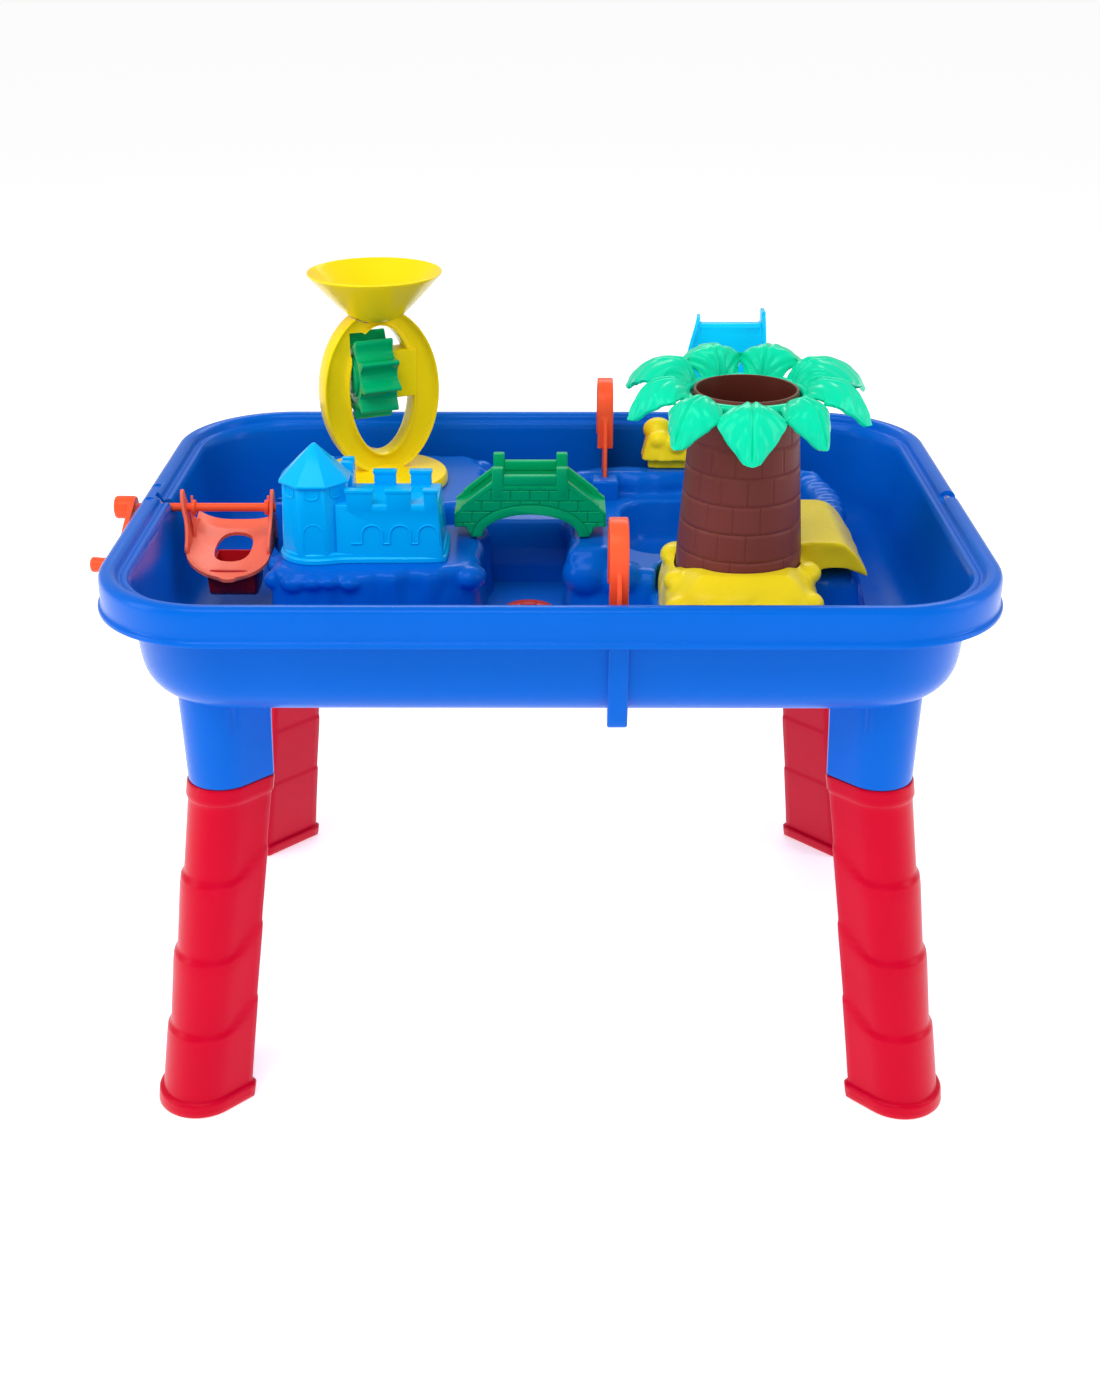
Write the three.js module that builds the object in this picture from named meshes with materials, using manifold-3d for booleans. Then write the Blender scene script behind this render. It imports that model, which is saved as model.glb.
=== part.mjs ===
// Sand and water table: a blow-moulded blue tray on four red legs, with a castle island, a river,
// a lagoon island, and loose toys and mechanisms. Millimetres, +Z up, floor at z = 0.
import * as THREE from 'three';
import { mergeVertices } from 'three/addons/utils/BufferGeometryUtils.js';
import Module from 'manifold-3d';

const wasm = await Module();
wasm.setup();

// ---------------------------------------------------------------- driving dimensions
const TABLE_W = 680, TABLE_D = 495;      // over the rim's bead
const RIM_R = 98;                        // rim corner radius
const RIM_Z = 448.5;                     // top of the rim
const FLOOR_Z = 353;                     // tray floor, inside
const UNDER_Z = 350;                     // tray floor, underneath
const LEG_TOP = 275;                     // where leg and socket meet
const SOCKET_TOP = 362;
const ISLAND_Z = 410;                    // castle platform
const PLATEAU_Z = 420;                   // tower platform
const TOWER = { x: -150, y: 117, yaw: 24, wheelZ: 519, wheelR: 38 };
const TRUNK = { x: 150, y: -66 };
const SCOOP = { y: 3, z: 436 };          // crank axis, along X
const DRAIN = { x: -18, y: -37 };
const GATE_X = 49.5, GATE_Y = 187;
const GAP = 0.3;
const X_SHIFT = 14.5;                    // puts the origin under the middle of the whole object

// ---------------------------------------------------------------- geometry helpers
function signedVolume(g) {
  const p = g.attributes.position, ix = g.index;
  const a = new THREE.Vector3(), b = new THREE.Vector3(), c = new THREE.Vector3();
  let v = 0;
  for (let i = 0; i < ix.count; i += 3) {
    a.fromBufferAttribute(p, ix.getX(i)); b.fromBufferAttribute(p, ix.getX(i + 1)); c.fromBufferAttribute(p, ix.getX(i + 2));
    v += a.dot(b.cross(c)) / 6;
  }
  return v;
}
function solid(geometry) {
  let g = geometry.clone();
  g.deleteAttribute('normal'); g.deleteAttribute('uv');
  if (g.attributes.uv1) g.deleteAttribute('uv1');
  g = mergeVertices(g, 1e-3);
  const flip = signedVolume(g) < 0;
  const idx = [];
  for (let i = 0; i < g.index.count; i += 3) {
    const [a, b, c] = [g.index.getX(i), g.index.getX(i + 1), g.index.getX(i + 2)];
    if (a === b || b === c || a === c) continue;
    if (flip) idx.push(a, c, b); else idx.push(a, b, c);
  }
  return new wasm.Manifold(new wasm.Mesh({ numProp: 3, vertProperties: Float32Array.from(g.attributes.position.array), triVerts: Uint32Array.from(idx) }));
}
function geometryOf(m) {
  const mesh = m.simplify(0.05).getMesh();
  const g = new THREE.BufferGeometry();
  const n = mesh.numProp, verts = new Float32Array(mesh.vertProperties.length / n * 3);
  for (let i = 0; i < verts.length / 3; i++) for (let k = 0; k < 3; k++) verts[3 * i + k] = mesh.vertProperties[n * i + k];
  g.setAttribute('position', new THREE.BufferAttribute(verts, 3));
  g.setIndex(new THREE.BufferAttribute(Uint32Array.from(mesh.triVerts), 1));
  g.computeVertexNormals();
  return g;
}
const join = (...s) => s.reduce((a, b) => a.add(b));
const cut = (a, ...s) => s.reduce((x, y) => x.subtract(y), a);

// closed body through a list of rings that hold the same number of points
function loft(rings) {
  const n = rings[0].length, pos = [], idx = [];
  rings.forEach(r => r.forEach(p => pos.push(p[0], p[1], p[2])));
  for (let k = 0; k < rings.length - 1; k++) for (let i = 0; i < n; i++) {
    const j = (i + 1) % n, a = k * n + i, b = k * n + j, c = (k + 1) * n + j, d = (k + 1) * n + i;
    idx.push(a, b, c, a, c, d);
  }
  const capTris = ring => {
    // the cap is triangulated in the ring's own plane
    const nrm = new THREE.Vector3();
    for (let i = 0; i < n; i++) {
      const p = ring[i], q = ring[(i + 1) % n];
      nrm.x += (p[1] - q[1]) * (p[2] + q[2]); nrm.y += (p[2] - q[2]) * (p[0] + q[0]); nrm.z += (p[0] - q[0]) * (p[1] + q[1]);
    }
    const ax = [Math.abs(nrm.x), Math.abs(nrm.y), Math.abs(nrm.z)], k = ax.indexOf(Math.max(...ax));
    const uv = ring.map(p => k === 2 ? new THREE.Vector2(p[0], p[1]) : k === 0 ? new THREE.Vector2(p[1], p[2]) : new THREE.Vector2(p[2], p[0]));
    const s = [nrm.x, nrm.y, nrm.z][k] < 0;
    const tris = THREE.ShapeUtils.triangulateShape(s ? uv.slice().reverse() : uv, []);
    return tris.map(t => s ? t.map(i => n - 1 - i).reverse() : t);
  };
  capTris(rings[0]).forEach(t => idx.push(t[0], t[2], t[1]));
  const o = (rings.length - 1) * n;
  capTris(rings[rings.length - 1]).forEach(t => idx.push(o + t[0], o + t[1], o + t[2]));
  const g = new THREE.BufferGeometry();
  g.setAttribute('position', new THREE.BufferAttribute(Float32Array.from(pos), 3));
  g.setIndex(idx);
  return solid(g);
}
const at = (pts, z) => pts.map(p => [p[0], p[1], z]);
function roundRect(hx, hy, r, seg = 6, cx = 0, cy = 0) {
  const out = [];
  [[1, 1, 0], [-1, 1, 90], [-1, -1, 180], [1, -1, 270]].forEach(([sx, sy, a0]) => {
    for (let i = 0; i <= seg; i++) {
      const a = (a0 + 90 * i / seg) * Math.PI / 180;
      out.push([cx + sx * (hx - r) + r * Math.cos(a), cy + sy * (hy - r) + r * Math.sin(a)]);
    }
  });
  return out;
}
// shrink or grow an outline towards its own middle by a distance, roughly
function inset(pts, d) {
  const n = pts.length;
  return pts.map((p, i) => {
    const a = pts[(i + n - 1) % n], b = pts[(i + 1) % n];
    const t = new THREE.Vector2(b[0] - a[0], b[1] - a[1]).normalize();
    return [p[0] - t.y * d, p[1] + t.x * d];
  });
}
function smoothOutline(pts, per = 3) {
  const curve = new THREE.CatmullRomCurve3(pts.map(p => new THREE.Vector3(p[0], p[1], 0)), true, 'centripetal');
  return curve.getPoints(pts.length * per).slice(0, -1).map(v => [v.x, v.y]);
}
const shapeOf = pts => new THREE.Shape(pts.map(p => new THREE.Vector2(p[0], p[1])));
function extrude(pts, depth, basis, origin, holes = []) {
  const s = shapeOf(pts);
  holes.forEach(h => s.holes.push(new THREE.Path(h.map(p => new THREE.Vector2(p[0], p[1])))));
  const g = new THREE.ExtrudeGeometry(s, { depth, bevelEnabled: false, curveSegments: 8 });
  g.applyMatrix4(new THREE.Matrix4().makeBasis(...basis));
  g.translate(...origin);
  return solid(g);
}
const X = new THREE.Vector3(1, 0, 0), Y = new THREE.Vector3(0, 1, 0), Z = new THREE.Vector3(0, 0, 1);
const alongX = (yz, x0, x1, holes) => extrude(yz, x1 - x0, [Y, Z, X], [x0, 0, 0], holes);
const alongY = (xz, y0, y1, holes) => extrude(xz, y1 - y0, [X, Z, Y.clone().negate()], [0, y1, 0], holes);
const alongZ = (xy, z0, z1, holes) => extrude(xy, z1 - z0, [X, Y, Z], [0, 0, z0], holes);
function box(x0, x1, y0, y1, z0, z1) {
  const g = new THREE.BoxGeometry(x1 - x0, y1 - y0, z1 - z0);
  g.translate((x0 + x1) / 2, (y0 + y1) / 2, (z0 + z1) / 2);
  return solid(g);
}
function rodX(r, x0, x1, y, z, n = 12) {
  const g = new THREE.CylinderGeometry(r, r, x1 - x0, n);
  g.rotateZ(Math.PI / 2); g.translate((x0 + x1) / 2, y, z);
  return solid(g);
}
function rodZ(rTop, rBottom, z0, z1, x, y, n = 20) {
  const g = new THREE.CylinderGeometry(rTop, rBottom, z1 - z0, n);
  g.rotateX(Math.PI / 2); g.translate(x, y, (z0 + z1) / 2);
  return solid(g);
}
function turned(profile, n, x, y) {
  const g = new THREE.LatheGeometry(profile.map(p => new THREE.Vector2(p[0], p[1])), n);
  g.rotateX(Math.PI / 2); g.translate(x, y, 0);
  return solid(g);
}
const ellipse = (cx, cy, rx, ry, n = 24) => Array.from({ length: n }, (_, i) => [cx + rx * Math.cos(2 * Math.PI * i / n), cy + ry * Math.sin(2 * Math.PI * i / n)]);

// ---------------------------------------------------------------- tray
const HX = TABLE_W / 2, HY = TABLE_D / 2;
const rimRing = ([d, z, r]) => at(roundRect(HX - d, HY - d, r || Math.max(RIM_R - d, 16)), z);
// [inset from the bead, height, corner radius]
const OUTSIDE = [[60, UNDER_Z, 52], [46, 350.9, 62], [34, 358, 72], [27.5, 371, 78], [25, 394, 80], [23.5, 420, 79], [20, 437, 78]];
const RIM_UNDER = [[17, 437.5], [13, 444], [6.5, 444], [5.5, 436], [5.5, 418.5]];
const RIM_OVER = [[0, 418.5], [0, 422.5], [2.5, 424], [2.5, 443], [6, RIM_Z - 0.6], [12.5, RIM_Z], [16, 445.5], [18, 440.5], [22.6, 441.5]];
const INSIDE = [[26.6, 420, 77], [28.2, 397, 77], [31, 378, 75], [37.6, 363, 69], [48.5, 355.4, 60], [62, FLOOR_Z, 50]];
const body = loft([...OUTSIDE, ...RIM_UNDER, ...RIM_OVER].map(rimRing));
const hollow = loft([...INSIDE.slice().reverse(), [25, 438.5, 74], [24, 446, 72], [24, 460, 72]].map(rimRing));

// leg and socket cross-section: a U whose round end points at the table's corner
function legSection(z, grow, n = 9) {
  const t = Math.min(1, Math.max(0, z / LEG_TOP));
  const w = 32 + (27 - 32) * t + grow, a = 27.5 + grow;
  const cx = -288 + 32.5 * t, cy = -210 + 45 * t, out = [];
  for (let i = 0; i <= n; i++) {
    const th = (135 + 180 * i / n) * Math.PI / 180;
    out.push([cx + w * Math.cos(th), cy + w * Math.sin(th)]);
  }
  const u = Math.SQRT1_2;
  out.push([cx + u * a + u * w, cy + u * a - u * w], [cx + u * a - u * w, cy + u * a + u * w]);
  return out;
}
const mirror = (m, sx, sy) => m.transform([sx, 0, 0, 0, 0, sy, 0, 0, 0, 0, 1, 0, 0, 0, 0, 1]);
const CORNERS = [['front_left', 1, 1], ['front_right', -1, 1], ['back_left', 1, -1], ['back_right', -1, -1]];
const socketOuter = loft([[LEG_TOP, 1], [LEG_TOP + 40, 1.8], [SOCKET_TOP, 3], [395, 3]].map(([z, g]) => at(legSection(z, g), z)));
const socketBore = loft([[LEG_TOP - 2, -2.2], [336, -2.2]].map(([z, g]) => at(legSection(LEG_TOP, g), z)));

const leftFront = smoothOutline([[-226, -68], [-198, -82], [-150, -84], [-95, -78], [-62, -66], [-53, -40], [-52, 0], [-53, 40], [-110, 46], [-180, 46], [-228, 44], [-228.5, -20]], 2);
const leftBack = smoothOutline([[-228, 30], [-150, 26], [-104, 30], [-90, 50], [-58, 54], [-52, 76], [-56, 120], [-55, 165], [-75, 198], [-120, 204], [-180, 204], [-218, 196], [-234, 160], [-231, 90]], 2);
const block = (o, top, draft, z0) => loft([at(o, z0), at(inset(o, draft), top - 4), at(inset(o, draft + 4), top)]);
const hollowUnder = (o, top, draft) => loft([at(inset(o, 4), 340), at(inset(o, 5 + draft), top - 3.2)]);

const lagoon = smoothOutline([[16, -34], [50, -44], [100, -48], [180, -50], [245, -56], [266, -30], [267, 40], [264, 120], [252, 178], [215, 198], [120, 200], [45, 198], [18, 182], [10, 130], [8, 60], [9, -5]], 2);
const ridgeBack = smoothOutline([[22, 150], [60, 148], [140, 150], [215, 150], [250, 152], [254, 172], [215, 192], [120, 194], [50, 192], [22, 178]], 2);
const ridgeRight = smoothOutline([[228, 70], [258, 62], [261, 110], [258, 165], [236, 186], [222, 160], [224, 110]], 2);
const bridgeSeat = smoothOutline([[10, -30], [40, -36], [60, -20], [60, 30], [52, 66], [14, 66], [10, 20]], 2);
const beachBase = smoothOutline([[81, -126], [94, -152], [150, -160], [206, -152], [220, -126], [221, -80], [218, -20], [150, -10], [84, -20], [80, -70]], 2);
const basin = roundRect(80, 66, 30, 3, 144, 74);
const basinCut = loft([at(inset(basin, 12), 357), at(inset(basin, 4), 372), at(inset(basin, -5), 425)]);
const beachOutline = smoothOutline([[89, -122], [100, -142], [125, -150], [150, -152], [178, -151], [202, -143], [212, -122], [214, -80], [212, -40], [206, -12], [150, -6], [96, -10], [87, -60]], 2);
const beachClear = loft([at(inset(beachOutline, -1.2), 377.3), at(inset(beachOutline, -1.2), 440)]);

let islands = join(
  block(leftFront, ISLAND_Z, 2.5, 351), block(leftBack, PLATEAU_Z, 4, 351),
  block(lagoon, 394, 12, 351), block(ridgeBack, 414, 8, 351), block(ridgeRight, 414, 6, 351), block(bridgeSeat, 410.5, 5, 351));
islands = cut(islands, basinCut, beachClear);
// the blocks end inside the thickness of the bowl's curved wall
const bowl = loft([...OUTSIDE.map(([d, z, r]) => rimRing([d + 1, z + 1, r - 1])), rimRing([23, 470, 79])]);
islands = islands.intersect(bowl);
const under = [hollowUnder(leftFront, ISLAND_Z, 4), hollowUnder(leftBack, PLATEAU_Z, 6), hollowUnder(bridgeSeat, 410, 6),
  hollowUnder(smoothOutline([[28, 146], [140, 144], [230, 146], [250, 156], [244, 186], [120, 196], [34, 190]], 2), 412, 8)];
const base = block(beachBase, 377, 3, 351);
// weir at the river's head, and its hollow
const weir = alongX([[44, 352], [48, 372], [70, 403], [112, 403], [124, 352]], -58, 14);
const weirUnder = alongX([[52, 340], [55, 371], [72, 399.5], [109, 399.5], [118, 340]], -46, 4);
// gate piers on the island side and rails on the tray walls
const gateSide = (s) => {
  const y = v => s * v;
  const span = (a, b) => [Math.min(y(a), y(b)), Math.max(y(a), y(b))];
  const [p0, p1] = span(140, 164);
  return box(GATE_X - 12, GATE_X + 12, p0, p1, 352, s > 0 ? 412 : 402);
};
const fin = s => alongX([[s * 196, 356], [s * 196, 418], [s * 229.5, 440], [s * 229.5, 417], [s * 223, 348], [s * 219, 341], [s * 206, 341], [s * 198, 348]], GATE_X - 7.5, GATE_X + 7.5);
const sidePost = loft([at(roundRect(4.2, 9, 2, 2, -224, 3), 400), at(roundRect(3.6, 8, 2, 2, -224, 3), 442)]);
const boss = rodZ(27, 29, 352, 355, DRAIN.x, DRAIN.y, 24);

let tray = cut(join(body, ...CORNERS.map(([, sx, sy]) => mirror(socketOuter, sx, sy)), fin(1), fin(-1)), hollow);
tray = join(tray, islands, base, weir, gateSide(1), gateSide(-1), sidePost, boss);
tray = cut(tray, ...CORNERS.map(([, sx, sy]) => mirror(socketBore, sx, sy)));
tray = cut(tray, ...under, weirUnder);
// hollows below the lagoon's bank and the beach's seat
tray = cut(tray, loft([at(roundRect(11, 80, 6, 3, 244, 70), 340), at(roundRect(8, 76, 5, 3, 243, 70), 389)]), loft([at(roundRect(56, 60, 14, 3, 150, -84), 340), at(roundRect(52, 56, 12, 3, 150, -84), 373)]));
// slots for the gates: through the rim's ledge, the wall rails and the island's piers
for (const s of [1, -1]) {
  tray = cut(tray, alongX([[s * 152.5, 357], [s * 218.5, 357], [s * 225, 425], [s * 225, 460], [s * 152.5, 460]], GATE_X - 2.1, GATE_X + 2.1));
}
// axle notch in the ledge, hole through the rim, saddle in the post, drain hole, rim notch on the right
tray = cut(tray,
  box(-327, -307, SCOOP.y - 4.2, SCOOP.y + 4.2, SCOOP.z, 452), rodX(4.2, -345, -307, SCOOP.y, SCOOP.z, 12),
  box(-232, -216, SCOOP.y - 4.2, SCOOP.y + 4.2, SCOOP.z, 452), rodX(4.2, -232, -216, SCOOP.y, SCOOP.z, 12),
  rodZ(12, 12, 330, 370, DRAIN.x, DRAIN.y, 20),
  box(324, 345, -6, 10, 441.5, 452));

// ---------------------------------------------------------------- legs
const LEG_RINGS = [[0, 3.2], [11, 3.6], [13, 0.6], [66, 1.6], [68, -1.4], [130, 1.4], [132, -1.6], [195, 1.2], [197, -1.8], [259, 0.2], [262, 1.6], [LEG_TOP - GAP, 1.6]];
function leg() {
  const rings = LEG_RINGS.map(([z, g]) => at(legSection(z, g), z));
  rings.push(at(legSection(LEG_TOP, -2.9), LEG_TOP - GAP), at(legSection(LEG_TOP, -2.9), 328), at(legSection(LEG_TOP, -5.4), 328),
    at(legSection(LEG_TOP, -5.4), 268), at(legSection(240, -4.6), 240), at(legSection(60, -4.6), 60), at(legSection(4, -3), 4));
  return loft(rings);
}

// ---------------------------------------------------------------- castle
const plinth = [[-221, -28], [-219, -46], [-209, -58], [-194, -64], [-178, -62], [-166, -58], [-88, -58], [-83, -53], [-83, 2], [-88, 8], [-186, 8], [-192, 4], [-194, -8], [-212, -12]];
const oct = (cx, cy, r, n = 8, a0 = 22.5) => Array.from({ length: n }, (_, i) => { const a = (a0 + 360 * i / n) * Math.PI / 180; return [cx + r * Math.cos(a), cy + r * Math.sin(a)]; });
const CZ = ISLAND_Z + GAP;
const castleOuter = join(
  loft([at(plinth, CZ), at(plinth, CZ + 4), at(inset(plinth, 1.5), CZ + 8)]),
  loft([at(oct(-190, -33, 30), CZ + 2), at(oct(-189.5, -32.5, 28.5), 474), at(oct(-189.5, -32.5, 27.5), 478), at(oct(-189, -32, 1.5), 503)]),
  loft([at([[-172, -57], [-86, -57], [-86, 4], [-172, 4]], CZ + 2), at([[-172, -54], [-90, -54], [-90, 1], [-172, 1]], 458)]),
  loft([at([[-189, -20], [-160, -20], [-160, 7], [-189, 7]], CZ + 2), at([[-187, -20], [-161, -20], [-161, 5], [-187, 5]], 471)]),
  box(-163, -142, -54, -48, 457, 470), box(-130, -112, -54, -48, 457, 470), box(-101, -90.3, -54, -48, 457, 470),
  box(-145, -127, -5, 1, 457, 470), box(-115, -98, -5, 1, 457, 470),
  box(-187, -178, 0, 5, 470, 480), box(-171, -161.5, 0, 5, 470, 480), box(-187, -178, -12, -7, 470, 480), box(-171, -161.5, -12, -7, 470, 480));
const castleInner = join(
  loft([at(oct(-190, -33, 26.6), 400), at(oct(-189.5, -32.5, 25.2), 472), at(oct(-189, -32, 3), 492)]),
  loft([at([[-176, -54], [-89, -54], [-89, 1], [-176, 1]], 400), at([[-176, -51], [-93, -51], [-93, -2], [-176, -2]], 455)]),
  loft([at([[-186, -30], [-160, -30], [-160, 4], [-186, 4]], 400), at([[-184, -30], [-164, -30], [-164, 2], [-184, 2]], 468)]));
const castle = cut(castleOuter, castleInner);

// ---------------------------------------------------------------- water tower (built around its own middle, then turned)
const place = m => m.rotate([0, 0, TOWER.yaw]).translate([TOWER.x, TOWER.y, 0]);
const OVAL_Z = (430 + 577) / 2, OVAL_RZ = (577 - 430) / 2;
const ovalOut = ellipse(0, OVAL_Z, 53, OVAL_RZ + 1, 32), ovalIn = ellipse(0, (449 + 562) / 2, 28.5, (562 - 449) / 2, 28);
const funnelOutside = (g) => [[0, 565.3 - g], [12 + g, 565.3 - g], [22 + g, 569.5 - g], [31 + g, 577.5 - g], [57.5 + g, 606 - g], [70, 620], [0, 620]];
let towerFrame = join(
  rodZ(56, 58, PLATEAU_Z + GAP, 430, 0, 0, 28),
  cut(alongY(ovalOut, -10, 10, [ovalIn.slice().reverse()]), alongY(ellipse(0, OVAL_Z, 50, OVAL_RZ - 2.5, 32), -11, -5, [ellipse(0, (446 + 565) / 2, 31.5, (565 - 446) / 2, 28).reverse()])),
  box(10, 32, -10, 10, 498, 540));
towerFrame = cut(towerFrame, rodX(3.5, -45, 45, 0, TOWER.wheelZ, 12), rodX(39.2, -26.6, 9.6, 0, TOWER.wheelZ, 28),
  turned(funnelOutside(0.3), 24, 0, 0), rodZ(6, 6, 550, 580, 0, 0, 12),
  rodZ(50, 52, 410, 426, 0, 0, 24));
towerFrame = place(towerFrame);

const paddles = [];
for (let i = 0; i < 10; i++) {
  for (const [da, r] of [[-14, 29.5], [-6, 33.5], [0, TOWER.wheelR], [5, TOWER.wheelR - 1], [10, 30.5]]) {
    const a = (36 * i + da + 8) * Math.PI / 180;
    paddles.push([r * Math.cos(a), TOWER.wheelZ + r * Math.sin(a)]);
  }
}
const waterWheel = place(alongX(paddles, -25.6, 8.8, [ellipse(0, TOWER.wheelZ, 3.4, 3.4, 12).reverse()]));
const wheelAxle = place(join(rodX(3, -43, 43, 0, TOWER.wheelZ, 12)));

const funnel = turned([[5, 565.3], [12, 565.3], [22, 569.5], [31, 577.5], [57.5, 606], [56, 607.6], [29.5, 579.5], [20.5, 571.8], [11, 567.8], [5, 567.8], [5, 565.3]], 32, TOWER.x, TOWER.y);

// ---------------------------------------------------------------- bridge
const arch = (cx, z0, rx, rz, n = 10) => Array.from({ length: n + 1 }, (_, i) => { const a = Math.PI * i / n; return [cx + rx * Math.cos(a), z0 + rz * Math.sin(a)]; });
const BX = -17;
const sideFace = [[BX - 63, 420.5], [BX - 54, 420.5], [BX - 49, 412], ...arch(BX, 412, 40, 19.5).reverse(), [BX + 49, 412], [BX + 54, 420.5], [BX + 63, 420.5], [BX + 63, 433],
  [BX + 52, 443], [BX + 31, 459.5], [BX + 31, 472], [BX + 22, 472], [BX + 22, 465.5], [BX - 22, 465.5], [BX - 22, 472], [BX - 31, 472], [BX - 31, 459.5], [BX - 52, 443], [BX - 63, 433]];
const deckCut = [[BX - 70, 429], [BX - 52, 436], [BX - 26, 452], [BX + 26, 452], [BX + 52, 436], [BX + 70, 429], [BX + 70, 490], [BX - 70, 490]];
const bridge = cut(alongY(sideFace, -4, 42), alongY(deckCut, 2, 36));

// ---------------------------------------------------------------- sluice gates
function gate(s) {
  const hw = 35.5;
  const web = [[GATE_Y - 33.5, 358], [216, 358], [GATE_Y + hw, 425], [GATE_Y + hw, 452], ...arch(GATE_Y, 466, 21, 24, 8).map(([y, z]) => [y, z]), [GATE_Y - 33.5, 452]];
  const outer = [[GATE_Y + 25, 436], ...arch(GATE_Y, 468, 25, 27, 10), [GATE_Y - 25, 436]];
  const inner = [[GATE_Y + 21, 436], ...arch(GATE_Y, 468, 21, 23, 10), [GATE_Y - 21, 436]];
  const band = cut(alongX(outer, GATE_X - 7, GATE_X + 7), alongX([[GATE_Y + 21, 430], ...inner, [GATE_Y - 21, 430]], GATE_X - 8, GATE_X + 8));
  const notchOuter = alongX([[GATE_Y + 20, 452.3], [GATE_Y + 40, 452.3], [GATE_Y + 40, 470], [GATE_Y + 26, 470]], GATE_X - 3, GATE_X + 3);
  let g = join(alongX(web, GATE_X - 1.6, GATE_X + 1.6), band);
  return s > 0 ? g : mirror(g, 1, -1);
}

// ---------------------------------------------------------------- beach, trunk and crown
const armXZ = [[196, 399], [196, 424], [214, 428], [236, 427], [247, 416], [257, 402], [257, 397], [249, 402], [238, 405], [225, 406], [214, 402], [209, 396]];
const beach = cut(
  join(loft([at(beachOutline, 377.6), at(inset(beachOutline, 1), 405), at(inset(beachOutline, 5), 420), at(inset(beachOutline, 11), 425)]), alongY(armXZ, -58, 50)),
  rodZ(51, 50, 398, 440, TRUNK.x, TRUNK.y, 32),
  loft([at(inset(beachOutline, 4), 370), at(inset(beachOutline, 6), 394.5)]));
const trunkCup = turned([[0, 398.3], [49.3, 398.3], [50, 425], [47, 465], [43.5, 515], [40.5, 557], [38, 557], [41, 515], [44.5, 465], [47, 425], [46.5, 401.5], [0, 401.5]], 32, TRUNK.x, TRUNK.y);
function leaf(angle, len, drop, rise) {
  const ring = (r, w, z, t) => [[r, -w, z - 6], [r, -w * 0.5, z - 1.5], [r, 0, z], [r, w * 0.5, z - 1.5], [r, w, z - 6], [r, w * 0.45, z - t - 2], [r, -w * 0.45, z - t - 2]];
  const m = loft([ring(43.5, 13, 551, 3), ring(56, 20, 559 + rise * 0.7, 3), ring(70, 23, 560 + rise, 3), ring(len * 0.88, 18, 549 + rise * 0.7 - drop * 0.4, 3), ring(len, 6, 533 + rise * 0.5 - drop, 2)]);
  return m.rotate([0, 0, angle]).translate([TRUNK.x, TRUNK.y, 0]);
}
const LEAVES = [[-92, 88, 6, 3], [-52, 88, 4, 4], [-12, 96, 2, 8], [28, 110, 0, 14], [68, 100, 0, 16], [110, 98, 0, 16], [150, 104, 0, 14], [190, 93, 2, 8], [230, 92, 4, 4]];
const crown = join(turned([[43.2, 540], [47, 540], [50, 553], [43, 555], [42, 553], [43.2, 540]], 36, TRUNK.x, TRUNK.y), ...LEAVES.map(l => cut(leaf(...l), rodZ(45, 45, 500, 600, TRUNK.x, TRUNK.y, 32))));

// ---------------------------------------------------------------- rock and slide on the lagoon's bank
const rockOutline = smoothOutline([[86, 166], [120, 163], [165, 163], [204, 167], [207, 190], [203, 205], [150, 208], [92, 207], [84, 190]], 2);
const rock = join(
  loft([at(inset(rockOutline, 6), 414.4), at(inset(rockOutline, 6), 424)]),
  cut(loft([at(rockOutline, 423), at(inset(rockOutline, 1), 434), at(inset(rockOutline, 6), 446)]), box(0, 1, 0, 1, 0, 1)),
  loft([at(smoothOutline([[86, 185], [104, 178], [114, 190], [110, 204], [92, 205]], 2), 440), at(smoothOutline([[91, 189], [100, 185], [106, 192], [102, 199], [94, 200]], 2), 461)]));
const chuteRing = (y, z, xl, xr, ny, nz, h = 13) => [
  [xl, y - ny * 3, z - nz * 3], [xr, y - ny * 3, z - nz * 3], [xr, y + ny * h, z + nz * h], [xr - 3, y + ny * h, z + nz * h],
  [xr - 3, y, z], [xl + 3, y, z], [xl + 3, y + ny * h * 0.6, z + nz * h * 0.6], [xl, y + ny * h * 0.6, z + nz * h * 0.6]];
const slide = join(
  loft([chuteRing(166, 452, 116, 196, -0.3, 0.95), chuteRing(174, 466, 117, 196, -0.6, 0.8), chuteRing(188, 505, 121, 195, -0.75, 0.6), chuteRing(200, 538, 131, 194, -0.45, 0.85), chuteRing(212, 541, 133, 194, 0, 1)]),
  cut(loft([at([[122, 184], [192, 184], [192, 204], [122, 204]], 446.4), at([[134, 199], [191, 199], [191, 211], [134, 211]], 539)]),
    loft([at([[126, 187], [188, 187], [188, 201], [126, 201]], 440), at([[138, 201], [187, 201], [187, 208], [138, 208]], 534)])));

// ---------------------------------------------------------------- scoop and crank
const seatRing = (y, z, xl, xr, up) => [[xl, y, z + up], [xl + 12, y, z - 2.5], [xr - 12, y, z - 2.5], [xr, y, z + up], [xr, y, z + up + 3], [xr - 12, y, z + 0.5], [xl + 12, y, z + 0.5], [xl, y, z + up + 3]];
const earYZ = [[-30, 410], [-26, 400], [20, 404], [36, 413], [38, 417], [22, 420], [13, 428], [9, 440], [SCOOP.y + 1, 452], [SCOOP.y - 1, 452], [-5, 440], [-9, 430], [-24, 420]];
let scoop = join(
  cut(loft([seatRing(-54, 394, -281, -252, 1), seatRing(-48, 395, -289, -240, 2), seatRing(-36, 397, -297, -233, 5), seatRing(0, 401, -301, -231, 8), seatRing(30, 407, -301, -231, 9), seatRing(42, 411, -300, -231, 6)]), box(-280, -250, -27, 25, 380, 420)),
  alongX(earYZ, -301.5, -298.5), alongX(earYZ, -233.5, -230.5));
const bucketYZ = [[-44, 396], [-42, 378], [-35, 370], [-8, 370], [0, 375], [4, 385], [1.5, 386], [-2, 377.5], [-9, 373], [-34, 373], [-39, 379], [-41, 396]];
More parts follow.
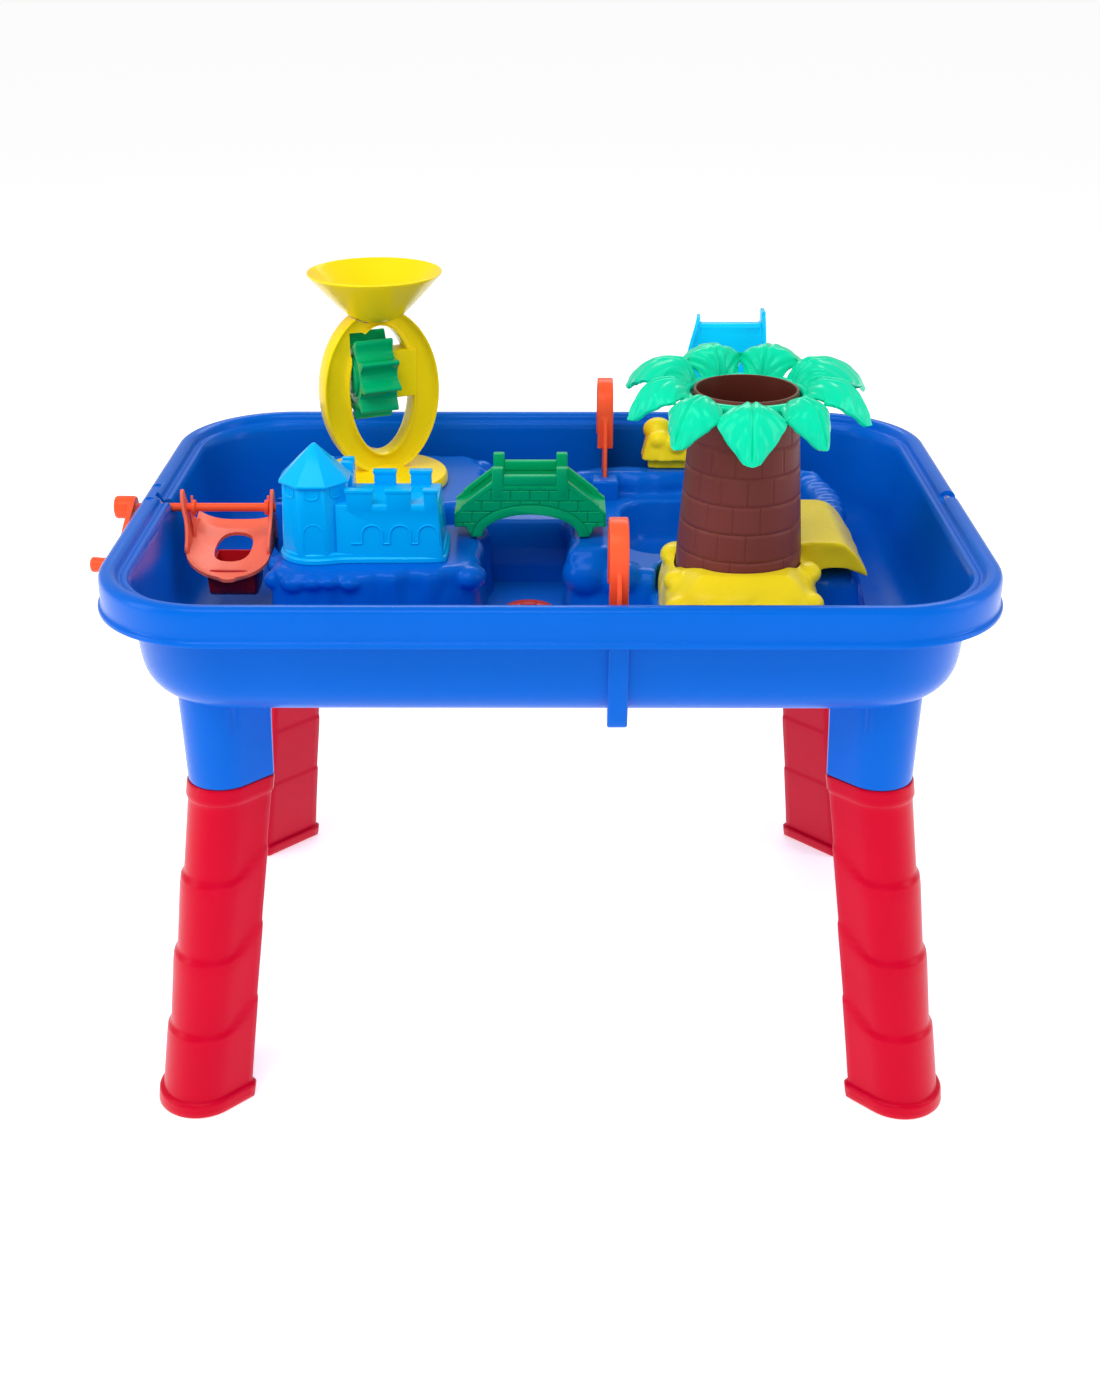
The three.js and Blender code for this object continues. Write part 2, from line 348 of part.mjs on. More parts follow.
const bucketSide = [[-42.5, 395], [-40.5, 379], [-34, 371], [-8.5, 371], [-1, 376], [3, 385], [6, 400]];
scoop = join(scoop, alongX(bucketYZ, -281, -243), alongX(bucketSide, -281, -278.4), alongX(bucketSide, -245.6, -243));
scoop = cut(scoop, rodX(3.8, -312, -226, SCOOP.y, SCOOP.z, 12));
const scoopAxle = join(rodX(3.5, -343.6, -220.5, SCOOP.y, SCOOP.z, 12), rodX(6.2, -298.1, -294.5, SCOOP.y, SCOOP.z, 12), rodX(6.2, -237.6, -233.9, SCOOP.y, SCOOP.z, 12));
// crank: hub, arm swept down and forward, grip on a screw
const GRIP = { y: -64, z: 411 };
const armDir = Math.atan2(GRIP.z - SCOOP.z, GRIP.y - SCOOP.y);
const armOutline = [];
for (let i = 0; i <= 8; i++) { const a = armDir + Math.PI / 2 + Math.PI * i / 8; armOutline.push([SCOOP.y + 9 * Math.cos(a), SCOOP.z + 9 * Math.sin(a)]); }
for (let i = 0; i <= 8; i++) { const a = armDir - Math.PI / 2 + Math.PI * i / 8; armOutline.push([GRIP.y + 7 * Math.cos(a), GRIP.z + 7 * Math.sin(a)]); }
const crankArm = cut(join(alongX(armOutline, -349, -344), rodX(9.5, -362, -344, SCOOP.y, SCOOP.z, 20)), rodX(2.3, -353, -340, GRIP.y, GRIP.z, 12));
const crankGrip = cut(rodX(6.2, -369, -349.4, GRIP.y, GRIP.z, 16), rodX(2.3, -366, -345, GRIP.y, GRIP.z, 12));
const crankScrew = join(rodX(1.9, -365.5, -343.7, GRIP.y, GRIP.z, 12), rodX(4, -343.7, -341.6, GRIP.y, GRIP.z, 12));

// ---------------------------------------------------------------- drain plug
const plug = join(rodZ(22, 23.5, 356.9, 361, DRAIN.x, DRAIN.y, 28), rodZ(11, 9.5, 345, 357.2, DRAIN.x, DRAIN.y, 20), alongY([[DRAIN.x - 9, 360.5], [DRAIN.x + 9, 360.5], [DRAIN.x + 6, 367], [DRAIN.x - 6, 367]], DRAIN.y - 2.5, DRAIN.y + 2.5));
const seal = turned([[11.6, 355.3], [20, 355.3], [21, 356], [20, 356.6], [11.6, 356.6], [11.6, 355.3]], 28, DRAIN.x, DRAIN.y);

// ---------------------------------------------------------------- scene graph
const paint = (hex, roughness = 0.3) => new THREE.MeshStandardMaterial({ color: hex, roughness, metalness: 0 });
const MAT = {
  tray: paint(0x0b62d6), leg: paint(0xc8143a), castle: paint(0x12a5ff), slide: paint(0x18c4ff), green: paint(0x0c8a58), wheel: paint(0x0a7f50),
  yellow: paint(0xf7cb1b), sand: paint(0xf2d63c), trunk: paint(0x7d463f), leaf: paint(0x0ad79a), coral: paint(0xff6a3c), scoop: paint(0xf0604a),
  plug: paint(0xd0403c), seal: paint(0x202226, 0.8), steel: new THREE.MeshStandardMaterial({ color: 0xb8bcc2, roughness: 0.3, metalness: 1 }) };
const table = new THREE.Group();
table.position.x = X_SHIFT;
const add = (name, body, material) => {
  const mesh = new THREE.Mesh(geometryOf(body), material);
  mesh.name = name;
  table.add(mesh);
};
add('tray', tray, MAT.tray);
CORNERS.forEach(([name, sx, sy]) => add('leg_' + name, mirror(leg(), sx, sy), MAT.leg));
add('castle', castle, MAT.castle);
add('tower_frame', towerFrame, MAT.yellow);
add('water_wheel', waterWheel, MAT.wheel);
add('wheel_axle', wheelAxle, MAT.steel);
add('funnel', funnel, MAT.yellow);
add('bridge', bridge, MAT.green);
add('gate_front', gate(-1), MAT.coral);
add('gate_back', gate(1), MAT.coral);
add('beach', beach, MAT.sand);
add('trunk_cup', trunkCup, MAT.trunk);
add('palm_crown', crown, MAT.leaf);
add('rock_back', rock, MAT.sand);
add('slide', slide, MAT.slide);
add('scoop', scoop, MAT.scoop);
add('scoop_axle', scoopAxle, MAT.coral);
add('crank_arm', crankArm, MAT.coral);
add('crank_grip', crankGrip, MAT.coral);
add('crank_screw', crankScrew, MAT.steel);
add('drain_plug', plug, MAT.plug);
add('plug_seal', seal, MAT.seal);

const root = new THREE.Group();
root.add(table);
export default root;
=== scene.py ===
import bpy, bmesh, math
import numpy as np
from mathutils import Vector, Matrix, noise


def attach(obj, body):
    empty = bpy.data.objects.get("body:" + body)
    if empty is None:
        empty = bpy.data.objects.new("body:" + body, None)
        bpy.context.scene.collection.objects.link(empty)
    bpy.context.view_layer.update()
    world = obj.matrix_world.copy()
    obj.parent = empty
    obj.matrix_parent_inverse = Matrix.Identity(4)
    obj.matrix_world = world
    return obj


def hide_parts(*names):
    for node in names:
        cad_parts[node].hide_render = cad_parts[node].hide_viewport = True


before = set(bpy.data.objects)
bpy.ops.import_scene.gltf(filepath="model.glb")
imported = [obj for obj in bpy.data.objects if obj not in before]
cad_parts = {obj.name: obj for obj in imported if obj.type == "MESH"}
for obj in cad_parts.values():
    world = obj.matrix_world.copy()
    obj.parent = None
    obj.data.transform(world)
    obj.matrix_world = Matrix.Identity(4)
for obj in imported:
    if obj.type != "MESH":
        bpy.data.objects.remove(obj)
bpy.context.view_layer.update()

S, DX = 0.001, 14.5          # the pieces are written in millimetres about the tray's middle
HX, HY, RIM_R = 340.0, 247.5, 98.0
rad = math.radians


# ------------------------------------------------------------------ mesh helpers
def new(name, V, F, bevel=0.0, seg=2, angle=30):
    v = np.array(V, float).reshape(-1, 3) * S
    v[:, 0] += DX * S
    me = bpy.data.meshes.new(name)
    me.from_pydata(v.tolist(), [], [tuple(int(i) for i in f) for f in F])
    o = bpy.data.objects.new(name, me)
    bpy.context.scene.collection.objects.link(o)
    clean(o)
    if bevel:
        mod(o, "BEVEL", width=bevel * S, segments=seg, limit_method="ANGLE", angle_limit=rad(angle))
    return o


def clean(o, dist=2e-6):
    bm = bmesh.new()
    bm.from_mesh(o.data)
    bmesh.ops.remove_doubles(bm, verts=bm.verts, dist=dist)
    bmesh.ops.recalc_face_normals(bm, faces=bm.faces)
    bm.to_mesh(o.data)
    bm.free()


def evaluated(o):
    dg = bpy.context.evaluated_depsgraph_get()
    dg.update()
    return bpy.data.meshes.new_from_object(o.evaluated_get(dg))


def apply(o):
    me = evaluated(o)
    old = o.data
    o.modifiers.clear()
    o.data = me
    bpy.data.meshes.remove(old)
    return o


def mod(o, kind, **kw):
    m = o.modifiers.new("m", kind)
    for k, v in kw.items():
        setattr(m, k, v)
    return apply(o)


def boole(a, bs, op="UNION", keep=False):
    for b in bs if isinstance(bs, (list, tuple)) else [bs]:
        n0 = len(a.data.vertices)
        m = a.modifiers.new("b", "BOOLEAN")
        m.operation, m.object, m.solver = op, b, "MANIFOLD"
        me = evaluated(a)
        if len(me.polygons) == 0 or len(me.vertices) == n0:
            m.solver = "EXACT"
            bpy.data.meshes.remove(me)
            me = evaluated(a)
            print("exact solver used:", a.name, b.name, op, len(me.polygons))
        old = a.data
        a.modifiers.clear()
        a.data = me
        bpy.data.meshes.remove(old)
        if not keep:
            drop(b)
    return a


def cut(a, bs, keep=False):
    return boole(a, bs, "DIFFERENCE", keep)


def drop(o):
    me = o.data
    bpy.data.objects.remove(o)
    bpy.data.meshes.remove(me)


def weld(name, parts):
    """several closed bodies in one mesh, before a remesh makes one skin of them"""
    bm = bmesh.new()
    for p in parts:
        bm.from_mesh(p.data)
        drop(p)
    me = bpy.data.meshes.new(name)
    bm.to_mesh(me)
    bm.free()
    o = bpy.data.objects.new(name, me)
    bpy.context.scene.collection.objects.link(o)
    return o


def remesh(o, voxel, smooth=4, factor=0.5):
    mod(o, "REMESH", mode="VOXEL", voxel_size=voxel * S, adaptivity=0.0)
    if smooth:
        mod(o, "SMOOTH", factor=factor, iterations=smooth)
    return o


def loft(rings, ring_closed=False):
    R = [np.asarray(r, float) for r in rings]
    n, m = len(R[0]), len(R)
    F = []
    for k in range(m if ring_closed else m - 1):
        a, b = k * n, ((k + 1) % m) * n
        F += [(a + i, a + (i + 1) % n, b + (i + 1) % n, b + i) for i in range(n)]
    if not ring_closed:
        F.append(tuple(range(n))[::-1])
        F.append(tuple((m - 1) * n + i for i in range(n)))
    return np.concatenate(R), F


def at(P, z):
    P = np.asarray(P, float)
    return np.column_stack([P[:, 0], P[:, 1], np.full(len(P), float(z))])


def prism(name, P, lo, hi, axis, bevel=0.0, seg=2, angle=30):
    P = np.asarray(P, float)
    def ring(c):
        k = np.full(len(P), float(c))
        return {"x": np.column_stack([k, P[:, 0], P[:, 1]]), "y": np.column_stack([P[:, 0], k, P[:, 1]]), "z": np.column_stack([P[:, 0], P[:, 1], k])}[axis]
    return new(name, *loft([ring(lo), ring(hi)]), bevel=bevel, seg=seg, angle=angle)


def box(name, x0, x1, y0, y1, z0, z1, bevel=0.0, seg=2):
    return prism(name, [[x0, y0], [x1, y0], [x1, y1], [x0, y1]], z0, z1, "z", bevel, seg)


def rrect(hx, hy, r, seg=6, cx=0.0, cy=0.0):
    out = []
    for sx, sy, a0 in ((1, 1, 0), (-1, 1, 90), (-1, -1, 180), (1, -1, 270)):
        for i in range(seg + 1):
            a = rad(a0 + 90 * i / seg)
            out.append([cx + sx * (hx - r) + r * math.cos(a), cy + sy * (hy - r) + r * math.sin(a)])
    return np.array(out)


def spline(P, per=6, closed=True):
    P = np.asarray(P, float)
    n, out = len(P), []
    for i in range(n if closed else n - 1):
        if closed:
            p0, p1, p2, p3 = P[i - 1], P[i], P[(i + 1) % n], P[(i + 2) % n]
        else:
            p0, p1, p2, p3 = P[max(i - 1, 0)], P[i], P[i + 1], P[min(i + 2, n - 1)]
        for k in range(per):
            t = k / per
            out.append(0.5 * (2 * p1 + (p2 - p0) * t + (2 * p0 - 5 * p1 + 4 * p2 - p3) * t * t + (3 * p1 - p0 - 3 * p2 + p3) * t ** 3))
    if not closed:
        out.append(P[-1])
    return np.array(out)


def chaikin(P, times=2, closed=True):
    P = np.asarray(P, float)
    for _ in range(times):
        Q = np.roll(P, -1, 0) if closed else P[1:]
        A = P if closed else P[:-1]
        new_ = np.empty((2 * len(A), P.shape[1]))
        new_[0::2], new_[1::2] = 0.75 * A + 0.25 * Q, 0.25 * A + 0.75 * Q
        P = new_ if closed else np.vstack([P[:1], new_, P[-1:]])
    return P


def resample(P, step):
    P = np.asarray(P, float)
    C = np.vstack([P, P[:1]])
    d = np.r_[0, np.cumsum(np.linalg.norm(np.diff(C, axis=0), axis=1))]
    n = max(8, int(d[-1] / step))
    t = np.linspace(0, d[-1], n, endpoint=False)
    return np.column_stack([np.interp(t, d, C[:, k]) for k in range(C.shape[1])])


def outward(P):
    t = np.roll(P, -1, 0) - np.roll(P, 1, 0)
    t /= np.linalg.norm(t, axis=1)[:, None] + 1e-9
    area = 0.5 * np.sum(P[:, 0] * np.roll(P[:, 1], -1) - P[:, 1] * np.roll(P[:, 0], -1))
    return np.column_stack([t[:, 1], -t[:, 0]]) * (1 if area > 0 else -1)


def grow(P, d):
    P = np.asarray(P, float)
    return P + outward(P) * d


def lathe(name, prof, x, y, n=96, knurl=None, axis="z"):
    """closed ring when the profile doesn't touch the axis, else a closed body"""
    prof = np.asarray(prof, float)
    rings = []
    for r, z in prof:
        a = np.linspace(0, 2 * math.pi, n, endpoint=False)
        rr = r + (knurl(a, r, z) if knurl else 0)
        c, s_ = rr * np.cos(a), rr * np.sin(a)
        if axis == "z":
            rings.append(np.column_stack([x + c, y + s_, np.full(n, z)]))
        else:                                     # turned about X: prof is (r, x), centre is (y, z)
            rings.append(np.column_stack([np.full(n, z), x + c, y + s_]))
    return new(name, *loft(rings, ring_closed=prof[0][0] > 0.01 and np.allclose(prof[0], prof[-1])))


def rod_x(name, r, x0, x1, y, z, n=40, edge=0.5):
    e = min(edge, r * 0.4)
    return lathe(name, [[r - e, x0], [r - e * 0.3, x0 + e * 0.3], [r, x0 + e], [r, x1 - e], [r - e * 0.3, x1 - e * 0.3], [r - e, x1]], y, z, n, axis="x")


def ridge(name, path, nrm, w, h, sink=0.8):
    """a raised half-round line along a path that lies on a surface"""
    P, N = np.asarray(path, float), np.asarray(nrm, float)
    N = np.broadcast_to(N / np.linalg.norm(N), P.shape) if N.ndim == 1 else N
    T = np.gradient(P, axis=0)
    T /= np.linalg.norm(T, axis=1)[:, None]
    B = np.cross(T, N)
    B /= np.linalg.norm(B, axis=1)[:, None]
    sec = [(-w, -sink), (-w, 0), (-w * 0.72, h * 0.7), (0, h), (w * 0.72, h * 0.7), (w, 0), (w, -sink)]
    return new(name, *loft([np.array([p + b * s + n * t for s, t in sec]) for p, b, n in zip(P, B, N)]))


def shade(o, angle=38):
    bm = bmesh.new()
    bm.from_mesh(o.data)
    lim = rad(angle)
    for f in bm.faces:
        f.smooth = True
    for e in bm.edges:
        e.smooth = len(e.link_faces) == 2 and e.calc_face_angle(0.0) < lim
    bm.to_mesh(o.data)
    bm.free()


def turn(o, deg, x, y):
    """turns a piece written in its own frame about Z, and puts it at x, y"""
    M = Matrix.Translation(Vector(((x + DX) * S, y * S, 0))) @ Matrix.Rotation(rad(deg), 4, "Z") @ Matrix.Translation(Vector((-DX * S, 0, 0)))
    o.data.transform(M)
    return o


def flip(o, sx, sy):
    M = Matrix.Translation(Vector((DX * S, 0, 0))) @ Matrix.Diagonal(Vector((sx, sy, 1, 1))) @ Matrix.Translation(Vector((-DX * S, 0, 0)))
    o.data.transform(M)
    clean(o)
    return o


def lump(p, f, seed):
    return noise.noise(Vector((p[0] * f[0] + seed, p[1] * f[1] - seed, p[2] * f[2] + 0.37 * seed)))


def roughen(o, amp, f, seed, zmin=None, zmax=None, fade=6.0):
    """moves a finished skin in and out along its normals, less near the given heights"""
    me = o.data
    co = np.empty(len(me.vertices) * 3, np.float32)
    no = np.empty(len(me.vertices) * 3, np.float32)
    me.vertices.foreach_get("co", co)
    me.vertex_normals.foreach_get("vector", no)
    co, no = co.reshape(-1, 3), no.reshape(-1, 3)
    for i in range(len(co)):
        p = co[i] * 1000
        k = 1.0
        if zmin is not None:
            k *= min(1, max(0, (p[2] - zmin) / fade))
        if zmax is not None:
            k *= min(1, max(0, (zmax - p[2]) / fade))
        if k > 0:
            co[i] += no[i] * (amp * k * lump(p, f, seed) * S)
    me.vertices.foreach_set("co", co.ravel())
    me.update()


# ------------------------------------------------------------------ materials
def srgb(r, g, b):
    return tuple((c / 255 / 12.92) if c <= 10.3 else ((c / 255 + 0.055) / 1.055) ** 2.4 for c in (r, g, b))


def plastic(name, rgb, rough=0.24, var=0.07, bump=0.10, grain=420.0, coat=0.15, metal=0.0, sss=0.0, streak=(1, 1, 1)):
    mat = bpy.data.materials.new(name)
    mat.use_nodes = True
    nt = mat.node_tree
    nt.nodes.clear()
    N = nt.nodes.new
    out, bs, tc, mp = N("ShaderNodeOutputMaterial"), N("ShaderNodeBsdfPrincipled"), N("ShaderNodeTexCoord"), N("ShaderNodeMapping")
    cloud, ramp = N("ShaderNodeTexNoise"), N("ShaderNodeValToRGB")
    fine, rr, skin, bp = N("ShaderNodeTexNoise"), N("ShaderNodeMapRange"), N("ShaderNodeTexNoise"), N("ShaderNodeBump")
    mp.inputs["Scale"].default_value = streak
    cloud.inputs["Scale"].default_value, cloud.inputs["Detail"].default_value = 7.0, 4.0
    c = np.array(rgb)
    e = ramp.color_ramp.elements
    e[0].position, e[1].position = 0.3, 0.72
    e[0].color = (*np.clip(c * (1 - var), 0, 1), 1)
    e[1].color = (*np.clip(c * (1 + var * 0.7) + var * 0.01, 0, 1), 1)
    fine.inputs["Scale"].default_value, fine.inputs["Detail"].default_value = 38.0, 3.0
    rr.inputs["To Min"].default_value, rr.inputs["To Max"].default_value = max(0.03, rough - 0.05), rough + 0.06
    skin.inputs["Scale"].default_value, skin.inputs["Detail"].default_value = grain, 2.0
    bp.inputs["Strength"].default_value, bp.inputs["Distance"].default_value = bump, 0.0004
    L = nt.links.new
    L(tc.outputs["Object"], mp.inputs["Vector"])
    for t in (cloud, fine, skin):
        L(mp.outputs["Vector"], t.inputs["Vector"])
    L(cloud.outputs["Fac"], ramp.inputs["Fac"])
    L(ramp.outputs["Color"], bs.inputs["Base Color"])
    L(fine.outputs["Fac"], rr.inputs["Value"])
    L(rr.outputs["Result"], bs.inputs["Roughness"])
    L(skin.outputs["Fac"], bp.inputs["Height"])
    L(bp.outputs["Normal"], bs.inputs["Normal"])
    L(bs.outputs["BSDF"], out.inputs["Surface"])
    bs.inputs["Metallic"].default_value = metal
    bs.inputs["Specular IOR Level"].default_value = 0.35
    if not metal:
        bs.inputs["Specular Tint"].default_value = (*np.clip(c * 0.85 + 0.12, 0, 1), 1)
    bs.inputs["Coat Weight"].default_value = coat * 0.3
    bs.inputs["Coat Roughness"].default_value = 0.12
    if sss:
        bs.inputs["Subsurface Weight"].default_value = sss
        bs.inputs["Subsurface Scale"].default_value = 0.004
    return mat


M = {
    "tray_blue": plastic("tray_blue", srgb(0, 98, 206), 0.22, 0.05),
    "leg_red": plastic("leg_red", srgb(200, 0, 40), 0.34, 0.06, 0.16, 300),
    "castle_blue": plastic("castle_blue", srgb(0, 184, 255), 0.2, 0.04),
    "slide_blue": plastic("slide_blue", srgb(0, 205, 255), 0.24, 0.05),
    "bridge_green": plastic("bridge_green", srgb(0, 170, 108), 0.24, 0.07),
    "wheel_green": plastic("wheel_green", srgb(0, 168, 106), 0.2, 0.07),
    "tower_yellow": plastic("tower_yellow", srgb(255, 222, 20), 0.22, 0.04),
    "sand_yellow": plastic("sand_yellow", srgb(255, 226, 36), 0.26, 0.06, 0.2, 260),
    "trunk_brown": plastic("trunk_brown", srgb(128, 66, 60), 0.4, 0.1, 0.3, 520, coat=0.05),
    # darker brown for the cup's inside: painted shade of the hollow, the plastic itself is the same brown
    "trunk_inside_painted_shade": plastic("trunk_inside_painted_shade", srgb(84, 34, 26), 0.42, 0.1, 0.3, 520, coat=0.0),
    "leaf_green": plastic("leaf_green", srgb(10, 218, 168), 0.18, 0.06),
    "coral": plastic("coral", srgb(255, 92, 52), 0.28, 0.05),
    "scoop_coral": plastic("scoop_coral", srgb(255, 112, 84), 0.26, 0.05),
    # darker red copy of the scoop's coral: painted shade for the bucket's shaded faces, not a second plastic colour
    "scoop_painted_shade_red": plastic("scoop_painted_shade_red", srgb(188, 22, 30), 0.26, 0.06),
    "plug_red": plastic("plug_red", srgb(206, 62, 58), 0.3, 0.06),
    "seal_black": plastic("seal_black", (0.02, 0.02, 0.022), 0.7, 0.2, 0.3, 600, coat=0.0),
    "steel": plastic("steel", (0.62, 0.62, 0.64), 0.3, 0.05, 0.15, 900, coat=0.0, metal=1.0, streak=(1, 8, 8)),
}


def paint(o, name):
    o.data.materials.clear()
    o.data.materials.append(M[name])
    o.data.polygons.foreach_set("material_index", [0] * len(o.data.polygons))
    return o


def finish_piece(o, body, slot, *nodes, mat=None, angle=38):
    clean(o, 1e-7)
    shade(o, angle)
    if not any(o.data.materials):
        paint(o, mat or slot)
    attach(o, body)
    if nodes:
        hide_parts(*nodes)
    return o


# ------------------------------------------------------------------ tray
def rim_ring(d, z, r=None, seg=30):
    return at(rrect(HX - d, HY - d, r if r else max(RIM_R - d, 16), seg), z)


def fill(L):
    return [(p[0], p[1], p[2] if len(p) > 2 else max(RIM_R - p[0], 16)) for p in L]


OUTSIDE = fill([(60, 350, 52), (53, 350.1, 57), (45, 351.2, 63), (36.5, 356, 70), (30, 364.6, 76), (26.6, 376, 79), (25, 394, 80), (23.5, 420, 79), (20, 437, 78)])
RIM = fill([(17, 437.5), (13, 444), (6.5, 444), (5.5, 436), (5.5, 418.5), (0.6, 418.5), (0, 420.3), (0.5, 422.6), (2.7, 423.8), (2.5, 430), (2.5, 441.6), (3.6, 445.8), (6.6, 448.0),
            (9.6, 448.5), (12.6, 448.1), (15.4, 446.0), (17.0, 441.2), (18.6, 440.6), (20.2, 441.6), (22.8, 441.6)])
outer_prof = np.vstack([spline(OUTSIDE, 4, False), chaikin(RIM, 2, False)])
body = new("tray_body", *loft([rim_ring(*p) for p in outer_prof]))

INSIDE = spline(fill([(62, 353, 50), (56, 353.4, 54), (48, 355.4, 60), (40, 360.6, 67), (34, 369.4, 72), (31, 379, 75), (28.2, 397, 77), (26.6, 420, 77), (25.6, 435, 76)]), 4, False)
LIP = fill([(25.2, 438.6, 74), (24.3, 440.3, 73), (23.2, 442.4, 73), (22.8, 447, 73), (22.8, 462, 73)])
hollow = new("hollow", *loft([rim_ring(*p) for p in np.vstack([INSIDE, LIP])]))


def leg_section(z, g, n=44, flute=0.0, back=10, shift=None):
    t = min(1.0, max(0.0, z / 275.0))
    w, a = 32 - 5 * t + g, 27.5 + g
    cx, cy, u = -288 + 32.5 * t, -210 + 45 * t, math.sqrt(0.5)
    out = []
    for i in range(n + 1):
        deg = 135 + 180 * i / n
        r = w
        for c0 in (300, 308, 150, 142):
            r -= flute * math.exp(-((deg - c0) / 2.4) ** 2)
        out.append([cx + r * math.cos(rad(deg)), cy + r * math.sin(rad(deg))])
    p, q = np.array([cx + u * a + u * w, cy + u * a - u * w]), np.array([cx + u * a - u * w, cy + u * a + u * w])
    e0, e1 = np.array(out[-1]), np.array(out[0])
    out += [e0 + (p - e0) * k for k in (0.25, 0.5, 0.75, 0.93)]
    out += [p + (q - p) * (0.03 + 0.94 * k / back) for k in range(back + 1)]
    out += [q + (e1 - q) * k for k in (0.07, 0.25, 0.5, 0.75)]
    return np.array(out)


def fade(x, a, b):
    t = min(1.0, max(0.0, (x - a) / (b - a)))
    return t * t * (3 - 2 * t)


sock = []
for z in np.r_[275, 275.6, 277, np.linspace(281, 352, 30), 362, 395]:
    g = np.interp(z, [275, 275.6, 277, 315, 362, 395], [0.2, 0.8, 1.0, 1.8, 3.0, 3.0])
    sock.append(at(leg_section(z, g, flute=1.5 * fade(z, 292, 336)), z))
socket = new("socket", *loft(sock))
bore = new("bore", *loft([at(leg_section(275, -2.2), 273), at(leg_section(275, -2.2), 336)]))


def four(o):
    parts = []
    for sx, sy in ((1, 1), (-1, 1), (1, -1), (-1, -1)):
        c = bpy.data.objects.new(o.name + "_c", o.data.copy())
        bpy.context.scene.collection.objects.link(c)
        parts.append(flip(c, sx, sy))
    nm = o.name + "s"
    drop(o)
    return weld(nm, parts)


GX = 49.5


def fin(s):
    yz = [[s * 196, 356], [s * 196, 418], [s * 229.5, 440], [s * 229.5, 417], [s * 226.5, 385], [s * 223, 352], [s * 220.5, 344], [s * 215, 341], [s * 207, 341], [s * 200, 345]]
    f = prism("fin", yz, GX - 7.5, GX + 7.5, "x", bevel=1.6, seg=3)
    return f


tray = boole(body, [four(socket), weld("fins", [fin(1), fin(-1)])])
tray = cut(tray, hollow)

# islands: overlapping blocks, remeshed into one soft blow-moulded skin
LEFT_FRONT = [[-226, -68], [-198, -82], [-150, -84], [-95, -78], [-62, -66], [-53, -40], [-52, 0], [-53, 40], [-110, 46], [-180, 46], [-228, 44], [-228.5, -20]]
LEFT_BACK = [[-228, 30], [-150, 26], [-104, 30], [-90, 50], [-58, 54], [-52, 76], [-56, 120], [-55, 165], [-75, 198], [-120, 204], [-180, 204], [-218, 196], [-234, 160], [-231, 90]]
LAGOON = [[16, -34], [50, -44], [100, -48], [180, -50], [245, -56], [266, -30], [267, 40], [264, 120], [252, 178], [215, 198], [120, 200], [45, 198], [18, 182], [10, 130], [8, 60], [9, -5]]
RIDGE_BACK = [[22, 150], [60, 148], [140, 150], [215, 150], [250, 152], [254, 172], [215, 192], [120, 194], [50, 192], [22, 178]]
RIDGE_RIGHT = [[228, 70], [258, 62], [261, 110], [258, 165], [236, 186], [222, 160], [224, 110]]
BRIDGE_SEAT = [[10, -30], [40, -36], [60, -20], [60, 30], [52, 66], [14, 66], [10, 20]]
BEACH_BASE = [[81, -126], [94, -152], [150, -160], [206, -152], [220, -126], [221, -80], [218, -20], [150, -10], [84, -20], [80, -70]]
BEACH = [[89, -122], [100, -142], [125, -150], [150, -152], [178, -151], [202, -143], [212, -122], [214, -80], [212, -40], [206, -12], [150, -6], [96, -10], [87, -60]]


def block(name, outline, z0, top, draft, amp, rnd, seed, wave=0.055):
    P = resample(spline(outline, 8), 2.6)
    N = outward(P)
    rings = []
    levels = [(z, draft * (z - z0) / (top - z0)) for z in np.linspace(z0, top - rnd, 16)]
    levels += [(top - rnd + rnd * math.sin(rad(a)), draft + rnd * (1 - math.cos(rad(a)))) for a in (18, 36, 54, 72, 90)]
    for z, d in levels:
        k = np.array([amp * (lump((p[0], p[1], z), (wave, wave, wave * 0.22), seed) + 0.45 * lump((p[0], p[1], z), (wave * 2.6, wave * 2.6, wave * 0.9), seed + 5)) for p in P])
        rings.append(at(P - N * (d + 1.0 - k)[:, None], z))
    return new(name, *loft(rings))


def ball(name, x, y, z, rx, ry, rz, deg=0.0):
    a = np.linspace(0, 2 * math.pi, 24, endpoint=False)
    c, s_ = math.cos(rad(deg)), math.sin(rad(deg))
    rings = []
    for t in np.linspace(-85, 85, 13):
        ex, ey = rx * math.cos(rad(t)) * np.cos(a), ry * math.cos(rad(t)) * np.sin(a)
        rings.append(np.column_stack([x + ex * c - ey * s_, y + ex * s_ + ey * c, np.full(24, z + rz * math.sin(rad(t)))]))
    return new(name, *loft(rings))


left = weld("left_island", [block("lf", LEFT_FRONT, 344, 410, 3, 3.2, 8, 3.0), block("lb", LEFT_BACK, 344, 420, 4, 3.0, 8, 9.0)]
            + [ball("lr", x, y, z, r, r * 0.8, r * 0.7, d) for x, y, z, r, d in
               [(-219, -60, 397, 13, 20), (-206, -74, 399, 11, -20), (-190, -78, 401, 9, 0), (-176, -80, 402, 8, 10), (-160, -80, 401, 8, 0), (-64, -60, 399, 14, 40), (-58, 132, 408, 11, 80),
                (-57, 104, 410, 9, 90), (-57, 158, 408, 12, 80), (-66, 184, 408, 14, 30), (-226, 20, 398, 12, 90), (-224, -30, 398, 12, 80)]])
remesh(left, 1.7, 5)

